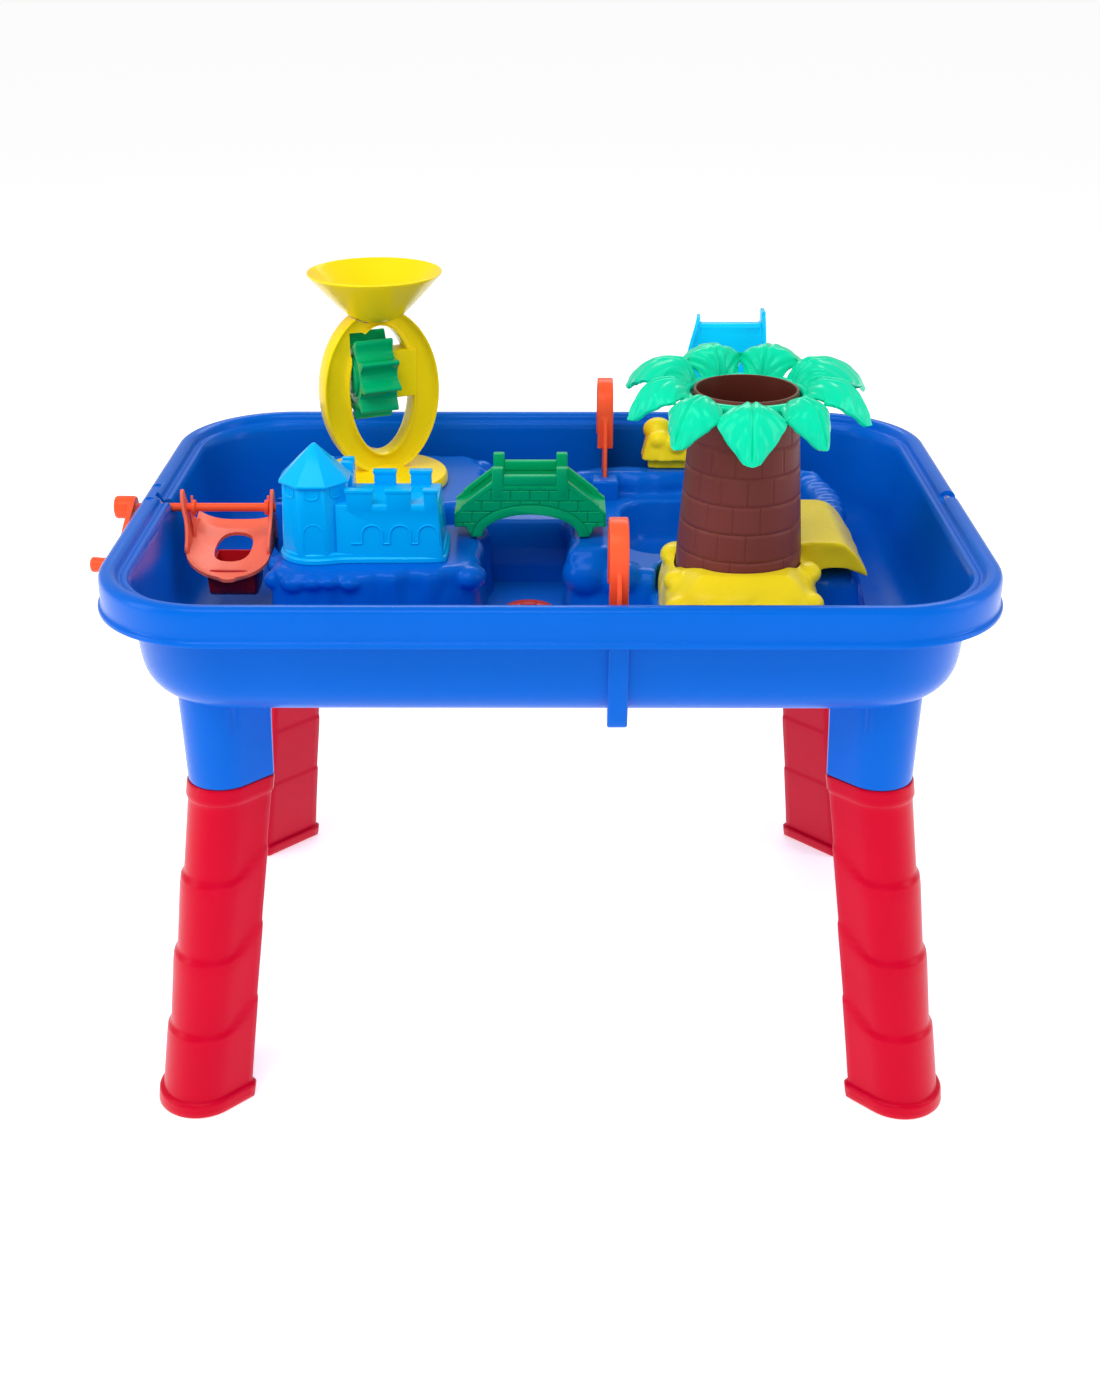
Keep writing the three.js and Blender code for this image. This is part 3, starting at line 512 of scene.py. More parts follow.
lag = weld("lagoon_island", [block("lg", LAGOON, 344, 394, 10, 3.4, 9, 21.0), block("rb", RIDGE_BACK, 344, 414, 7, 3.4, 9, 33.0), block("rr", RIDGE_RIGHT, 344, 409, 7, 3, 8, 41.0),
                             block("bs", BRIDGE_SEAT, 344, 410.5, 6, 2.4, 9, 51.0)]
           + [ball("st", x, y, 401, 15, 10, 11, d) for x, y, d in [(243, 62, 20), (246, 78, 12), (247, 94, 18), (247, 110, 8), (246, 126, 14), (243, 142, 10), (239, 158, 20), (231, 173, 36)]]
           + [ball("hl", x, y, z, r, r * 0.85, r * 0.8, d) for x, y, z, r, d in
              [(34, -18, 386, 26, 30), (58, -26, 384, 20, 0), (30, 166, 402, 15, 0), (60, 172, 404, 13, 0), (96, 174, 404, 12, 0), (20, 60, 396, 15, 80), (16, 100, 388, 14, 80), (20, 140, 390, 15, 80), (214, 178, 402, 14, 0)]])
remesh(lag, 2.0, 0)
basin = resample(rrect(80, 66, 30, 8, 144, 74), 3)
bas = []
for d, z in [(-14, 357), (-10, 358.5), (-7, 363), (-4, 372), (0, 390), (3, 405), (6, 425), (6, 440)]:
    k = np.array([1.6 * lump((p[0], p[1], z), (0.07, 0.07, 0.02), 61) for p in basin])
    bas.append(at(basin + outward(basin) * (d + k)[:, None], z))
clear = new("clear", *loft([at(grow(spline(BEACH, 5), 1.3), 377.2), at(grow(spline(BEACH, 5), 1.3), 445)]))
lag = cut(lag, [new("basin", *loft(bas)), clear])
remesh(lag, 1.8, 5)
lag = boole(lag, block("bb", BEACH_BASE, 344, 377, 3, 1.0, 3, 71.0))

weir = prism("weir", chaikin([[44, 340], [44, 356], [48, 373], [60, 392], [70, 403], [112, 403], [124, 360], [124, 340]], 2), -60, 16, "x")
piers = [box("pier", GX - 12, GX + 12, 140, 164, 344, 412, 2.5, 3), box("pier2", GX - 12, GX + 12, -164, -140, 344, 402, 2.5, 3)]
post = new("post", *loft([at(rrect(4.2, 9, 2, 5, -224, 3), 396), at(rrect(3.6, 8, 2, 5, -224, 3), 441), at(rrect(2.8, 7.2, 2, 5, -224, 3), 442)]))
boss = lathe("boss", [[0.001, 344], [29.5, 344], [29, 353.5], [27.6, 355], [24, 355], [0.001, 355]], -18, -37, 72)

inside_shape = new("inner_space", *loft([rim_ring(*p) for p in [(-30, 351.2, 98), (-30, 460, 98)]]))
wall_shape = new("wall_shape", *loft([rim_ring(p[0] + 1.2, p[1] + 0.9, max(p[2], 12)) for p in spline(OUTSIDE, 4, False)] + [rim_ring(22, 470, 80)]))
isl = boole(left, [lag])
isl = boole(isl, [weir] + piers + [post, boss])
isl = boole(isl, wall_shape, "INTERSECT")
isl = boole(isl, inside_shape, "INTERSECT")
tray = boole(tray, isl)

# hollows beneath, gate slots, saddles and notches, drain hole
def under(outline, top, d0, d1):
    P = spline(outline, 6)
    return new("under", *loft([at(grow(P, -d0), 340), at(grow(P, -d0 - 1), 380), at(grow(P, -d1), top)]))


cuts = [four(bore), under(LEFT_FRONT, 403.5, 14, 22), under(LEFT_BACK, 413.5, 14, 22), prism("wu", [[54, 340], [58, 371], [74, 397], [108, 397], [116, 340]], -44, 2, "x")]
cuts.append(new("bu", *loft([at(rrect(54, 58, 14, 6, 150, -84), 340), at(rrect(50, 54, 12, 6, 150, -84), 372)])))
for s in (1, -1):
    cuts.append(prism("slot", [[s * 152.5, 357], [s * 218.5, 357], [s * 225, 425], [s * 225, 460], [s * 152.5, 460]], GX - 2.1, GX + 2.1, "x"))
cuts += [box("n1", -327, -307, -1.2, 7.2, 436, 456), rod_x("n2", 4.2, -346, -306, 3, 436), box("n3", -234, -214, -1.2, 7.2, 436, 456), rod_x("n4", 4.2, -234, -214, 3, 436)]
cuts += [lathe("n5", [[0.001, 330], [12, 330], [12, 372], [0.001, 372]], -18, -37, 48), box("n6", 322, 345, -6, 10, 443, 456, 1.0)]
for y0 in (-16, 18):
    cuts.append(prism("saddle", [[y0, 447.4], [y0 + 4, 446.9], [y0 + 8, 447.4], [y0 + 8, 456], [y0, 456]], -334, -324, "x"))
tray = cut(tray, cuts)
finish_piece(tray, "table", "tray_blue", "tray", angle=32)

# ------------------------------------------------------------------ legs
RINGZ = [0, 1.2, 10, 11.6, 13, 58, 66, 70, 122, 130, 134, 187, 195, 199, 257, 261, 263, 273.6, 274.7]
RINGG = [2.2, 3.4, 3.8, 3.2, 0.4, 1.3, 1.2, -1.2, 1.2, 1.0, -1.4, 0.9, 0.7, -1.6, 0.0, 0.4, 1.9, 2.0, 1.4]


def leg_ring(z):
    base = leg_section(z, 0)
    t = min(1.0, max(0.0, z / 275.0))
    c = np.array([-288 + 32.5 * t, -210 + 45 * t])
    u = np.array([math.sqrt(0.5)] * 2)
    rel = base - c
    back = rel @ u                                 # how far from the round front to the flat back
    k = fade(z, 18, 44) * (1 - fade(z, 226, 252))
    N = outward(base)
    out = base.copy()
    for i in range(len(base)):
        rise = 20 * fade(back[i], -6, 30) * k
        g = np.interp(z - rise, RINGZ, RINGG)
        if 13 < z < 258:
            g *= 1 - 0.62 * fade(back[i], 4, 24)
        out[i] += N[i] * g
    return at(out, z)


leg0 = new("leg0", *loft([leg_ring(z) for z in np.r_[0, 0.5, 1.2, 5, 9, 10, 10.8, 11.6, 12.3, 13, np.arange(15, 255, 1.5), 256, 257, 259, 261, 262, 263, 266, 270, 273, 273.8, 274.7]]
                       + [at(leg_section(275, -2.9), 274.7), at(leg_section(275, -2.9), 327)]))
for nm, sx, sy in (("front_left", 1, 1), ("front_right", -1, 1), ("back_left", 1, -1), ("back_right", -1, -1)):
    o = bpy.data.objects.new("leg_" + nm + "_v", leg0.data.copy())
    bpy.context.scene.collection.objects.link(o)
    finish_piece(flip(o, sx, sy), "table", "leg_red", "leg_" + nm, angle=48)
drop(leg0)

# ------------------------------------------------------------------ castle
def octo(cx, cy, r, n=8, a0=22.5):
    return np.array([[cx + r * math.cos(rad(a0 + 360 * i / n)), cy + r * math.sin(rad(a0 + 360 * i / n))] for i in range(n)])


PL = chaikin([[-221, -28], [-219, -46], [-209, -58], [-194, -64], [-178, -62], [-166, -58], [-88, -58], [-83, -53], [-83, 2], [-88, 8], [-186, 8], [-192, 4], [-194, -8], [-212, -12]], 2)
castle = new("castle_v", *loft([at(PL, 410.4), at(PL, 413.4), at(grow(PL, -0.9), 414.6), at(grow(PL, -1.6), 414.9), at(grow(PL, -1.9), 417.2), at(grow(PL, -3), 418.2)]))
castle = boole(castle, [
    new("t1", *loft([at(octo(-190, -33, 29.6), 411), at(octo(-189.5, -32.5, 27.8), 473.5)]), bevel=1.6, seg=3, angle=25),
    new("t2", *loft([at(octo(-189.5, -32.5, 27.6), 472), at(octo(-189.5, -32.5, 30.2), 473.2), at(octo(-189.5, -32.5, 30.2), 475), at(octo(-189, -32, 1.6), 502.6)]), bevel=0.5, seg=2, angle=12),
    new("t3", *loft([at([[-172, -57], [-86, -57], [-86, 4], [-172, 4]], 411), at([[-172, -54], [-90, -54], [-90, 1], [-172, 1]], 458)]), bevel=1.2, seg=3),
    new("t4", *loft([at([[-189, -20], [-160, -20], [-160, 7], [-189, 7]], 411), at([[-187, -20], [-161, -20], [-161, 5], [-187, 5]], 471)]), bevel=1.2, seg=3)])
merl = [(-163, -142, -54.4, -48), (-131, -111, -54.4, -48), (-101, -90.2, -54.4, -48), (-145, -127, -5, 1.2), (-115, -98, -5, 1.2)]
castle = boole(castle, [box("m", a, b, c, d, 452, 470, 1.0, 3) for a, b, c, d in merl])
castle = boole(castle, [box("m", a, b, c, d, 466, 480, 0.9, 3) for a, b, c, d in [(-187, -178, 0, 5.2), (-171, -161, 0, 5.2), (-187, -178, -12, -7), (-171, -161, -12, -7)]])
castle = boole(castle, [box("cap", a - 0.8, b + 0.8, c - 0.6, d + 0.6, 467.6, 470.6, 0.7, 2) for a, b, c, d in merl])
fy = lambda z: -57 + 3 * (z - 411) / 47 - 0.05
nw = (0, -1, 0.064)
path = [[-160, fy(426), 426], [-152.5, fy(426), 426]]
for cx in (-143, -120.5, -98):
    if cx > -140:
        path.append([cx - 11.2, fy(426), 426])
    path.append([cx - 8.4, fy(426.4), 426.4])
    path += [[cx - 8.4 * math.cos(rad(a)), fy(433 + 8.4 * math.sin(rad(a))), 433 + 8.4 * math.sin(rad(a))] for a in range(0, 181, 15)]
    path.append([cx + 8.4, fy(426.4), 426.4])
path.append([-88.5, fy(426), 426])
castle = boole(castle, ridge("arches", path, nw, 0.75, 0.8))
for q in range(8):
    a = rad(45 * q)
    if q in (0, 1, 2):
        continue
    n2 = np.array([math.cos(a), math.sin(a), 0.03]); tdir = np.array([-math.sin(a), math.cos(a), 0])
    cen = np.array([-189.5, -32.5, 0])
    def on(z, s, lift=0.0):
        ap = np.interp(z, [411, 473.5], [29.6, 27.8]) * math.cos(rad(22.5))
        return cen + np.array([math.cos(a), math.sin(a), 0]) * (ap + lift) + tdir * s + np.array([0, 0, z])
    tab = [on(472, s, -0.1) for s in (5.2, 5.2)]
    u_path = [on(471.5, 5.4), on(466.5, 5.2), on(464.2, 3.6), on(463.6, 0), on(464.2, -3.6), on(466.5, -5.2), on(471.5, -5.4)]
    castle = boole(castle, ridge("tab", spline(u_path, 3, False), n2, 0.7, 0.7))
    if q in (4, 5, 6):
        arc = [on(421, 8.6), on(434, 8.4)] + [on(434 + 9 * math.sin(rad(t)), 8.4 * math.cos(rad(t))) for t in range(15, 166, 15)] + [on(434, -8.4), on(421, -8.6)]
        if q != 5:
            castle = boole(castle, ridge("door", arc, n2, 0.7, 0.7))
inner = new("ci", *loft([at(octo(-190, -33, 26.2), 400), at(octo(-189.5, -32.5, 24.6), 471), at(octo(-189, -32, 3), 490)]))
inner2 = new("ci2", *loft([at([[-176, -54], [-89, -54], [-89, 1], [-176, 1]], 400), at([[-176, -51], [-93, -51], [-93, -2], [-176, -2]], 450)]))
castle = cut(castle, [inner, inner2])
finish_piece(castle, "castle", "castle_blue", "castle", angle=20)

# ------------------------------------------------------------------ water tower, wheel and funnel
TX, TY, YAW, WZ = -150, 117, 24, 519
OZ, ORZ = 503.5, 73.5
sec = chaikin([(0, 10), (0, -10), (0.13, -10), (0.15, -6.2), (0.85, -6.2), (0.87, -10), (1, -10), (1, 10), (0.87, 10), (0.85, 6.2), (0.15, 6.2), (0.13, 10)], 2)
rings = []
for ph in np.linspace(0, 2 * math.pi, 120, endpoint=False):
    ci = np.array([28.5 * math.cos(ph), 505.5 + 56.5 * math.sin(ph)])
    co = np.array([53 * math.cos(ph), OZ + ORZ * math.sin(ph)])
    rings.append([[*(ci + (co - ci) * t)[:1], y, (ci + (co - ci) * t)[1]] for t, y in sec])
frame_o = new("tower_frame_v", *loft(rings, ring_closed=True))
disc = lathe("disc", [[0.001, 420.4], [56.8, 420.4], [57.8, 421.4], [58, 423], [57.6, 427.4], [56.4, 429.4], [54, 430.1], [36, 431.2], [22, 434], [10, 437], [0.001, 438]], 0, 0, 120)
frame_o = boole(frame_o, [disc, box("bearing", 10, 32, -10, 10, 498, 540, 1.6, 3)])
frame_o = cut(frame_o, [rod_x("cl", 39.2, -26.6, 9.6, 0, WZ, 72), rod_x("ax", 3.5, -46, 46, 0, WZ, 32),
                        lathe("fc", [[0.001, 540], [6, 540], [6, 564.8], [12.4, 564.9], [22.4, 569.1], [31.4, 577.1], [70, 617], [70, 620], [0.001, 620]], 0, 0, 72)])
finish_piece(turn(frame_o, YAW, TX, TY), "tower", "tower_yellow", "tower_frame", angle=35)

teeth = []
for i in range(10):
    for da, r in ((-16, 27.5), (-10, 28.6), (-5, 33.5), (-1.5, 37.0), (1.8, 37.6), (4.4, 35.6), (7, 31.5), (12, 28.2)):
        a = rad(36 * i + da + 8)
        teeth.append([r * math.cos(a), WZ + r * math.sin(a)])
wheel = prism("water_wheel_v", spline(teeth, 4), -25.2, 8.4, "x", bevel=0.7, seg=2, angle=50)
wheel = boole(wheel, [rod_x("hub", 15, -25.9, -23, 0, WZ, 56, 0.8), rod_x("hub2", 12, 8, 9.1, 0, WZ, 48, 0.5)])
wheel = cut(wheel, [rod_x("wb", 3.4, -40, 40, 0, WZ, 32)] + [lathe("ring", [[17.5, -27], [25.2, -27], [24.6, -23.6], [18.2, -23.6], [17.5, -27]], 0, WZ, 64, axis="x")])
finish_piece(turn(wheel, YAW, TX, TY), "wheel", "wheel_green", "water_wheel", angle=34)
finish_piece(turn(rod_x("wheel_axle_v", 3, -43, 43, 0, WZ, 32), YAW, TX, TY), "wheel", "steel", "wheel_axle")

fun = chaikin([[5, 565.3], [12, 565.3], [22, 569.5], [31, 577.5], [57.2, 605.6], [57.5, 606.9], [56.4, 607.6], [55, 606.6], [29.5, 579.5], [20.5, 571.8], [11, 567.8], [5, 567.8]], 2)
finish_piece(lathe("funnel_v", np.vstack([fun, fun[:1]]), TX, TY, 144), "funnel", "tower_yellow", "funnel", angle=50)

# ------------------------------------------------------------------ bridge
BX = -17


def arc_pts(cx, z0, rx, rz, n=36):
    return [[cx + rx * math.cos(math.pi * i / n), z0 + rz * math.sin(math.pi * i / n)] for i in range(n + 1)]


side = [[BX - 63, 420.7], [BX - 54, 420.7], [BX - 49, 412.2], *arc_pts(BX, 412.2, 40, 19.5)[::-1], [BX + 49, 412.2], [BX + 54, 420.7], [BX + 63, 420.7], [BX + 63, 432.6],
        [BX + 52, 442], [BX + 31, 458.6], [BX - 31, 458.6], [BX - 52, 442], [BX - 63, 432.6]]
bridge = prism("bridge_v", side, -3, 41, "y", bevel=0.8, seg=2, angle=40)
bridge = cut(bridge, prism("deck", [[BX - 70, 429], [BX - 56, 434], [BX - 46, 439], [BX - 36, 445], [BX - 26, 450], [BX + 26, 450], [BX + 36, 445], [BX + 46, 439], [BX + 56, 434], [BX + 70, 429], [BX + 70, 490], [BX - 70, 490]], 1.6, 36.4, "y"))
parts = []
for y0, y1 in ((-3.9, 2.8), (35.2, 41.9)):
    for s in (-1, 1):
        parts.append(box("post", BX + s * 26.5 - 4.7, BX + s * 26.5 + 4.7, y0, y1, 446, 472, 1.2, 3))
        parts.append(prism("hand", [[BX + s * 29, 456.4], [BX + s * 29, 461.6], [BX + s * 44, 449.8], [BX + s * 54, 441.8], [BX + s * 54, 436.4]][::-s], y0 + 0.5, y1 - 0.5, "y", 0.8, 2))
        parts.append(prism("end", [[BX + s * 50, 430], [BX + s * 50, 443.6], [BX + s * 57, 439.4], [BX + s * 57, 436.6], [BX + s * 63, 433], [BX + s * 63, 430]][::-s], y0 + 0.5, y1 - 0.5, "y", 0.7, 2))
    parts.append(box("rail", BX - 22, BX + 22, y0 + 0.5, y1 - 0.5, 457, 465.4, 1.0, 3))
bridge = boole(bridge, parts)
for sgn, y in ((-1, -3), (1, 41)):
    rows = []
    for k, z in enumerate((415.6, 425.4, 435.0, 444.0, 453.2)):
        h = (9.0, 8.8, 8.2, 8.4, 8.4)[k]
        for i in range(-6, 7):
            x = BX + 16.0 * i + (8.0 if k % 2 else 0)
            rows.append(box("br", x - 7.5, x + 7.5, min(y - sgn * 1.2, y + sgn * 0.85), max(y - sgn * 1.2, y + sgn * 0.85), z, z + h, 0.35, 1))
    bricks = weld("bricks", rows)
    panel = prism("panel", [[BX - 61, 421.8], [BX - 53, 421.8], [BX - 50.6, 416], *[[x, z] for x, z in arc_pts(BX, 412, 49.6, 29.2)[::-1]], [BX + 50.6, 416], [BX + 53, 421.8], [BX + 61, 421.8],
                              [BX + 61, 431.4], [BX + 50, 440], [BX + 30, 455.8], [BX - 30, 455.8], [BX - 50, 440], [BX - 61, 431.4]], y - 3, y + 3, "y")
    bricks = boole(bricks, panel, "INTERSECT")
    band = prism("band", [*arc_pts(BX, 412.4, 48.2, 27.6), *arc_pts(BX, 412.4, 40.3, 19.5)[::-1]], min(y - sgn, y + sgn * 1.0), max(y - sgn, y + sgn * 1.0), "y", 0.6, 2, 40)
    bridge = boole(bridge, [bricks, band])
finish_piece(bridge, "bridge", "bridge_green", "bridge", angle=35)

# ------------------------------------------------------------------ gates
for nm, s in (("gate_front", -1), ("gate_back", 1)):
    gy = 187
    web = prism(nm + "_v", [[gy - 33.5, 358], [216, 358], [222.4, 425], [222.4, 451], *[[y, z] for y, z in arc_pts(gy, 466, 22, 25, 24)], [gy - 33.5, 451]], GX - 1.6, GX + 1.6, "x", 0.5, 2, 60)
    outer = [[gy + 25, 436], *arc_pts(gy, 468, 25, 26.8, 36), [gy - 25, 436]]
    inner_ = [[gy - 20.6, 436], *arc_pts(gy, 468, 20.6, 22.6, 36)[::-1], [gy + 20.6, 436]]
    band = prism("gb", outer + inner_, GX - 7, GX + 7, "x", 1.1, 3, 40)
    rib = prism("gr", [[gy - 22, 449.8], [gy + 22, 449.8], [gy + 22, 453.6], [gy - 22, 453.6]], GX - 4.4, GX + 4.4, "x", 0.8, 2)
    g = boole(web, [band, rib])
    if s < 0:
        flip(g, 1, -1)
    finish_piece(g, nm, "coral", nm, angle=40)

# ------------------------------------------------------------------ beach
BP = resample(spline(BEACH, 8), 2.4)
BN = outward(BP)
rings = []
for d, z in [(0.2, 378), (0.6, 386), (1.6, 394), (3.4, 401), (6.6, 407.6), (11.5, 413.6), (18, 419), (24, 422.6), (29, 424.6)]:
    k = np.array([2.0 * fade(z, 380, 396) * lump((p[0], p[1], z), (0.05, 0.05, 0.03), 83) for p in BP])
    rings.append(at(BP - BN * (d + 0.4 + np.maximum(-k, 0) * 1.2)[:, None], z))
mound = new("mound", *loft(rings))
arm = prism("arm", chaikin([[190, 399], [190, 424], [206, 427.5], [222, 428], [236, 427], [245, 418], [251, 410], [257, 401], [257, 396.5], [249, 401], [238, 404.6], [225, 405], [214, 401.6], [204, 396]], 2), -57, 49, "y")
beach = weld("beach_v", [mound, arm] + [ball("bl", x, y, z, r, r * 0.8, r * 0.6, d) for x, y, z, r, d in
                                         [(104, -124, 401, 17, 35), (128, -137, 402, 17, 10), (168, -138, 402, 18, -8), (196, -124, 404, 17, -35), (102, -92, 410, 16, 80), (202, -84, 412, 15, 80), (201, -40, 416, 16, 80), (205, 0, 416, 12, 80), (102, -40, 411, 16, 80), (232, -40, 418, 11, 80)]])
remesh(beach, 1.5, 10)
roughen(beach, 1.5, (0.045, 0.045, 0.05), 91, 384, 426)
beach = cut(beach, [lathe("bc", [[0.001, 398], [50.9, 398], [51.2, 425], [52.2, 430], [54, 450], [0.001, 450]], 150, -66, 96),
                    new("bu2", *loft([at(grow(spline(BEACH, 6), -6), 370), at(grow(spline(BEACH, 6), -8), 393)])),
                    box("flat", 60, 300, -140, 80, 360, 377.9)])
finish_piece(beach, "beach", "sand_yellow", "beach", angle=40)

# ------------------------------------------------------------------ trunk with its courses of bricks
levels = [399, 410, 432, 454, 476, 498, 519, 538, 556]
R = lambda z: np.interp(z, [399, 425, 465, 515, 557], [49.4, 49.7, 46.9, 43.4, 40.4])
NB = 14
zs = [399.0, 399.8]
for a, b in zip(levels[1:], levels[2:]):
    zs += [a - 0.75, a - 0.3, a + 0.3, a + 0.75]
    zs += list(np.linspace(a + 3, b - 3, 4))
zs += [555.5, 556.6, 557.0]
zs = sorted(set(np.round(zs, 3)))
angs = []
for j in range(2 * NB):
    c = 360 * j / (2 * NB)
    angs += [c - 0.95, c - 0.38, c + 0.38, c + 0.95] + list(np.linspace(c + 2.4, c + 360 / (2 * NB) - 2.4, 4))
angs = np.array(sorted(angs))
rings = []
for z in zs:
    r = np.full(len(angs), R(z))
    near = min(abs(z - L) for L in levels[1:-1])
    wavy = 0
    if near < 0.5:
        r -= 0.55
    elif near >= 0.74:
        course = int(np.searchsorted(levels, z))
        joint = (angs * (2 * NB) / 360.0)
        k = np.round(joint).astype(int)
        hit = (np.abs(angs - k * 360 / (2 * NB)) < 0.5) & (k % 2 == course % 2) & (((k * 7 + course * 3) % 5) != 0)
        r[hit] -= 0.5
    if z > 556.5:
        r -= 0.4
    wob = 0.9 * np.sin(np.radians(angs) * 3 + 0.8) * 0
    rings.append(np.column_stack([150 + r * np.cos(np.radians(angs)), -66 + r * np.sin(np.radians(angs)), np.full(len(angs), z) + wob]))
n_out = len(rings)
for z, r in [(557.0, 38.6), (556.4, 38.1), (515, 41), (465, 44.4), (425, 46.9), (404, 46.6), (401.8, 44)]:
    rings.append(np.column_stack([150 + r * np.cos(np.radians(angs)), -66 + r * np.sin(np.radians(angs)), np.full(len(angs), z)]))
trunk = new("trunk_cup_v", *loft(rings))
trunk.data.materials.append(M["trunk_brown"])
trunk.data.materials.append(M["trunk_inside_painted_shade"])
# faces on the inside of the cup take the second, darker material: painted shade inside the hollow trunk
for p in trunk.data.polygons:
    c = p.center * 1000
    rr_ = math.hypot(c[0] - DX - 150, c[1] + 66)
    if rr_ < R(c[2]) - 1.7 and c[2] > 400.5:
        p.material_index = 1
finish_piece(trunk, "trunk", "trunk_brown", "trunk_cup", angle=55)

# ------------------------------------------------------------------ palm crown
def leaf(name, ang, length, drop_, top, wid, twist=0.0):
    nu, nv = 44, 37
    e = length - 66
    ctrl = np.array([[42.8, 547], [47, 555 + (top - 560) * 0.5], [54, top - 2.2], [62, top], [66 + e * 0.36, top - 3.6], [66 + e * 0.74, top - 14 - drop_ * 0.5], [length, top - 28 - drop_]])
    C = spline(ctrl, 12, False)
    d = np.r_[0, np.cumsum(np.linalg.norm(np.diff(C, axis=0), axis=1))]
    us = np.linspace(0, 1, nu)
    cl = np.column_stack([np.interp(us * d[-1], d, C[:, k]) for k in (0, 1)])
    T = np.gradient(cl, axis=0)
    T /= np.linalg.norm(T, axis=1)[:, None]
    Nn = np.column_stack([-T[:, 1], T[:, 0]])
    top_s, bot_s = [], []
    for i, u in enumerate(us):
        w = wid * (0.50 + 0.50 * fade(u, 0.0, 0.42)) * (1 - fade(u, 0.55, 1.12)) ** 0.62
        w *= 1 + 0.05 * abs(math.sin(5.5 * math.pi * u))
        rt, rb = [], []
        for v in np.linspace(-1, 1, nv):
            av = abs(v)
            arch = -(av ** 2.1) * (8.5 * fade(u, 0.0, 0.3) + 3.0) * (w / wid)
            rib = 0.95 * fade(u, 0.06, 0.22) * fade(av, 0.05, 0.3) * (1 - abs(math.sin(math.pi * (5.2 * u - 2.1 * av + 0.2)))) * 1.5
            mid = -1.2 * math.exp(-(v / 0.06) ** 2) + 1.0 * math.exp(-((av - 0.14) / 0.07) ** 2)
            y = v * w
            # side leaflets lean forward, which gives the toothed tip
            adv = 4.5 * av ** 1.5 * fade(u, 0.2, 0.9)
            p = cl[i] + Nn[i] * (arch + mid * fade(u, 0.03, 0.15) * (1 - fade(u, 0.9, 1.0)) - rib * 0.8) - T[i] * adv * 0.5
            q = p - Nn[i] * 2.3
            rt.append([p[0], y, p[1]])
            rb.append([q[0], y * 0.97, q[1]])
        top_s.append(rt)
        bot_s.append(rb)
    rings_ = [np.array(t + b[::-1]) for t, b in zip(top_s, bot_s)]
    o = new(name, *loft(rings_))
    return turn(o, ang, 150, -66)


collar = [[43.1, 538.5], [46.4, 538.5], [48.2, 541], [50.4, 548], [50.8, 553], [49, 556], [45.4, 556.4], [43.1, 554.6], [42.4, 552]]
crown = lathe("palm_crown_v", np.vstack([chaikin(collar, 2), chaikin(collar, 2)[:1]]), 150, -66, 120)
for i, (a, ln, dr, tp, wd) in enumerate([(-92, 90, 12, 563, 25), (-52, 88, 6, 563, 21), (-12, 97, 6, 568, 24), (28, 113, 2, 573, 25), (68, 98, -4, 576, 26), (110, 97, -4, 576, 26),
                                          (150, 104, 0, 573, 24), (190, 93, 3, 568, 23), (230, 92, 6, 564, 22)]):
    crown = boole(crown, leaf("leaf%d" % i, a, ln, dr, tp, wd))
crown = cut(crown, lathe("cc", [[0.001, 500], [43.0, 500], [43.0, 545], [42.4, 552], [42.2, 590], [0.001, 590]], 150, -66, 120))
finish_piece(crown, "crown", "leaf_green", "palm_crown", angle=60)

# ------------------------------------------------------------------ rock and slide on the far bank
RO = [[86, 166], [120, 163], [165, 163], [204, 167], [207, 190], [203, 205], [150, 208], [92, 207], [84, 190]]
rock = weld("rock_back_v", [block("rk", RO, 423, 446, 5, 2.2, 7, 101.0, 0.08), new("rs", *loft([at(grow(spline(RO, 6), -7), 414.4), at(grow(spline(RO, 6), -7), 428)]))]
            + [ball("rk2", x, y, z, r, r * 0.85, r * 0.8, d) for x, y, z, r, d in [(99, 190, 446, 14, 0), (100, 176, 440, 12, 20), (116, 174, 437, 13, 0), (108, 194, 441, 13, 0), (196, 178, 438, 12, 0)]])
remesh(rock, 1.2, 6)
rock = cut(rock, box("rf", 60, 240, 150, 230, 400, 414.3))

chute = [(166, 452, 116, 196, -0.3, 0.95), (174, 466, 117, 196, -0.6, 0.8), (188, 505, 121, 195, -0.75, 0.6), (200, 538, 131, 194, -0.45, 0.85), (212, 541, 133, 194, 0, 1)]
CH = spline(chute, 8, False)
rings = []
for y, z, xl, xr, ny, nz in CH:
    h = 12.5
    L_ = math.hypot(ny, nz)
    ny, nz = ny / L_, nz / L_
    f = lambda x, t: [x, y + ny * t, z + nz * t]
    rings.append([f(xl + 0.6, -3), f(xr - 0.6, -3), f(xr, -2.2), f(xr, h - 0.5), f(xr - 0.6, h), f(xr - 2.4, h), f(xr - 3, h - 0.6), f(xr - 3.4, 1.2), f(xr - 5, 0),
                  f(xl + 5, 0), f(xl + 3.4, 1.2), f(xl + 3, h * 0.6 - 0.6), f(xl + 2.4, h * 0.6), f(xl + 0.6, h * 0.6), f(xl, h * 0.6 - 0.5), f(xl, -2.2)])
slide = new("slide_v", *loft(rings))
stand = new("stand", *loft([at(rrect(35, 10, 3, 5, 157, 194), 446.6), at(rrect(28.5, 6, 3, 5, 162.5, 205), 539)]))
stand = cut(stand, new("sh", *loft([at(rrect(31, 7, 2, 5, 157, 194), 440), at(rrect(25, 3.4, 2, 5, 162.5, 205), 534)])))
slide = boole(slide, [stand, box("sp", 190.4, 194, 196, 212, 538, 553.8, 0.8, 2)])
rock = cut(rock, [prism("seat", [[160, 449], [160, 475], [214, 475], [214, 446.2], [176, 446.2], [168, 448.0]], 113, 199, "x")])
finish_piece(rock, "rock", "sand_yellow", "rock_back", angle=45)
finish_piece(slide, "slide", "slide_blue", "slide", angle=35)

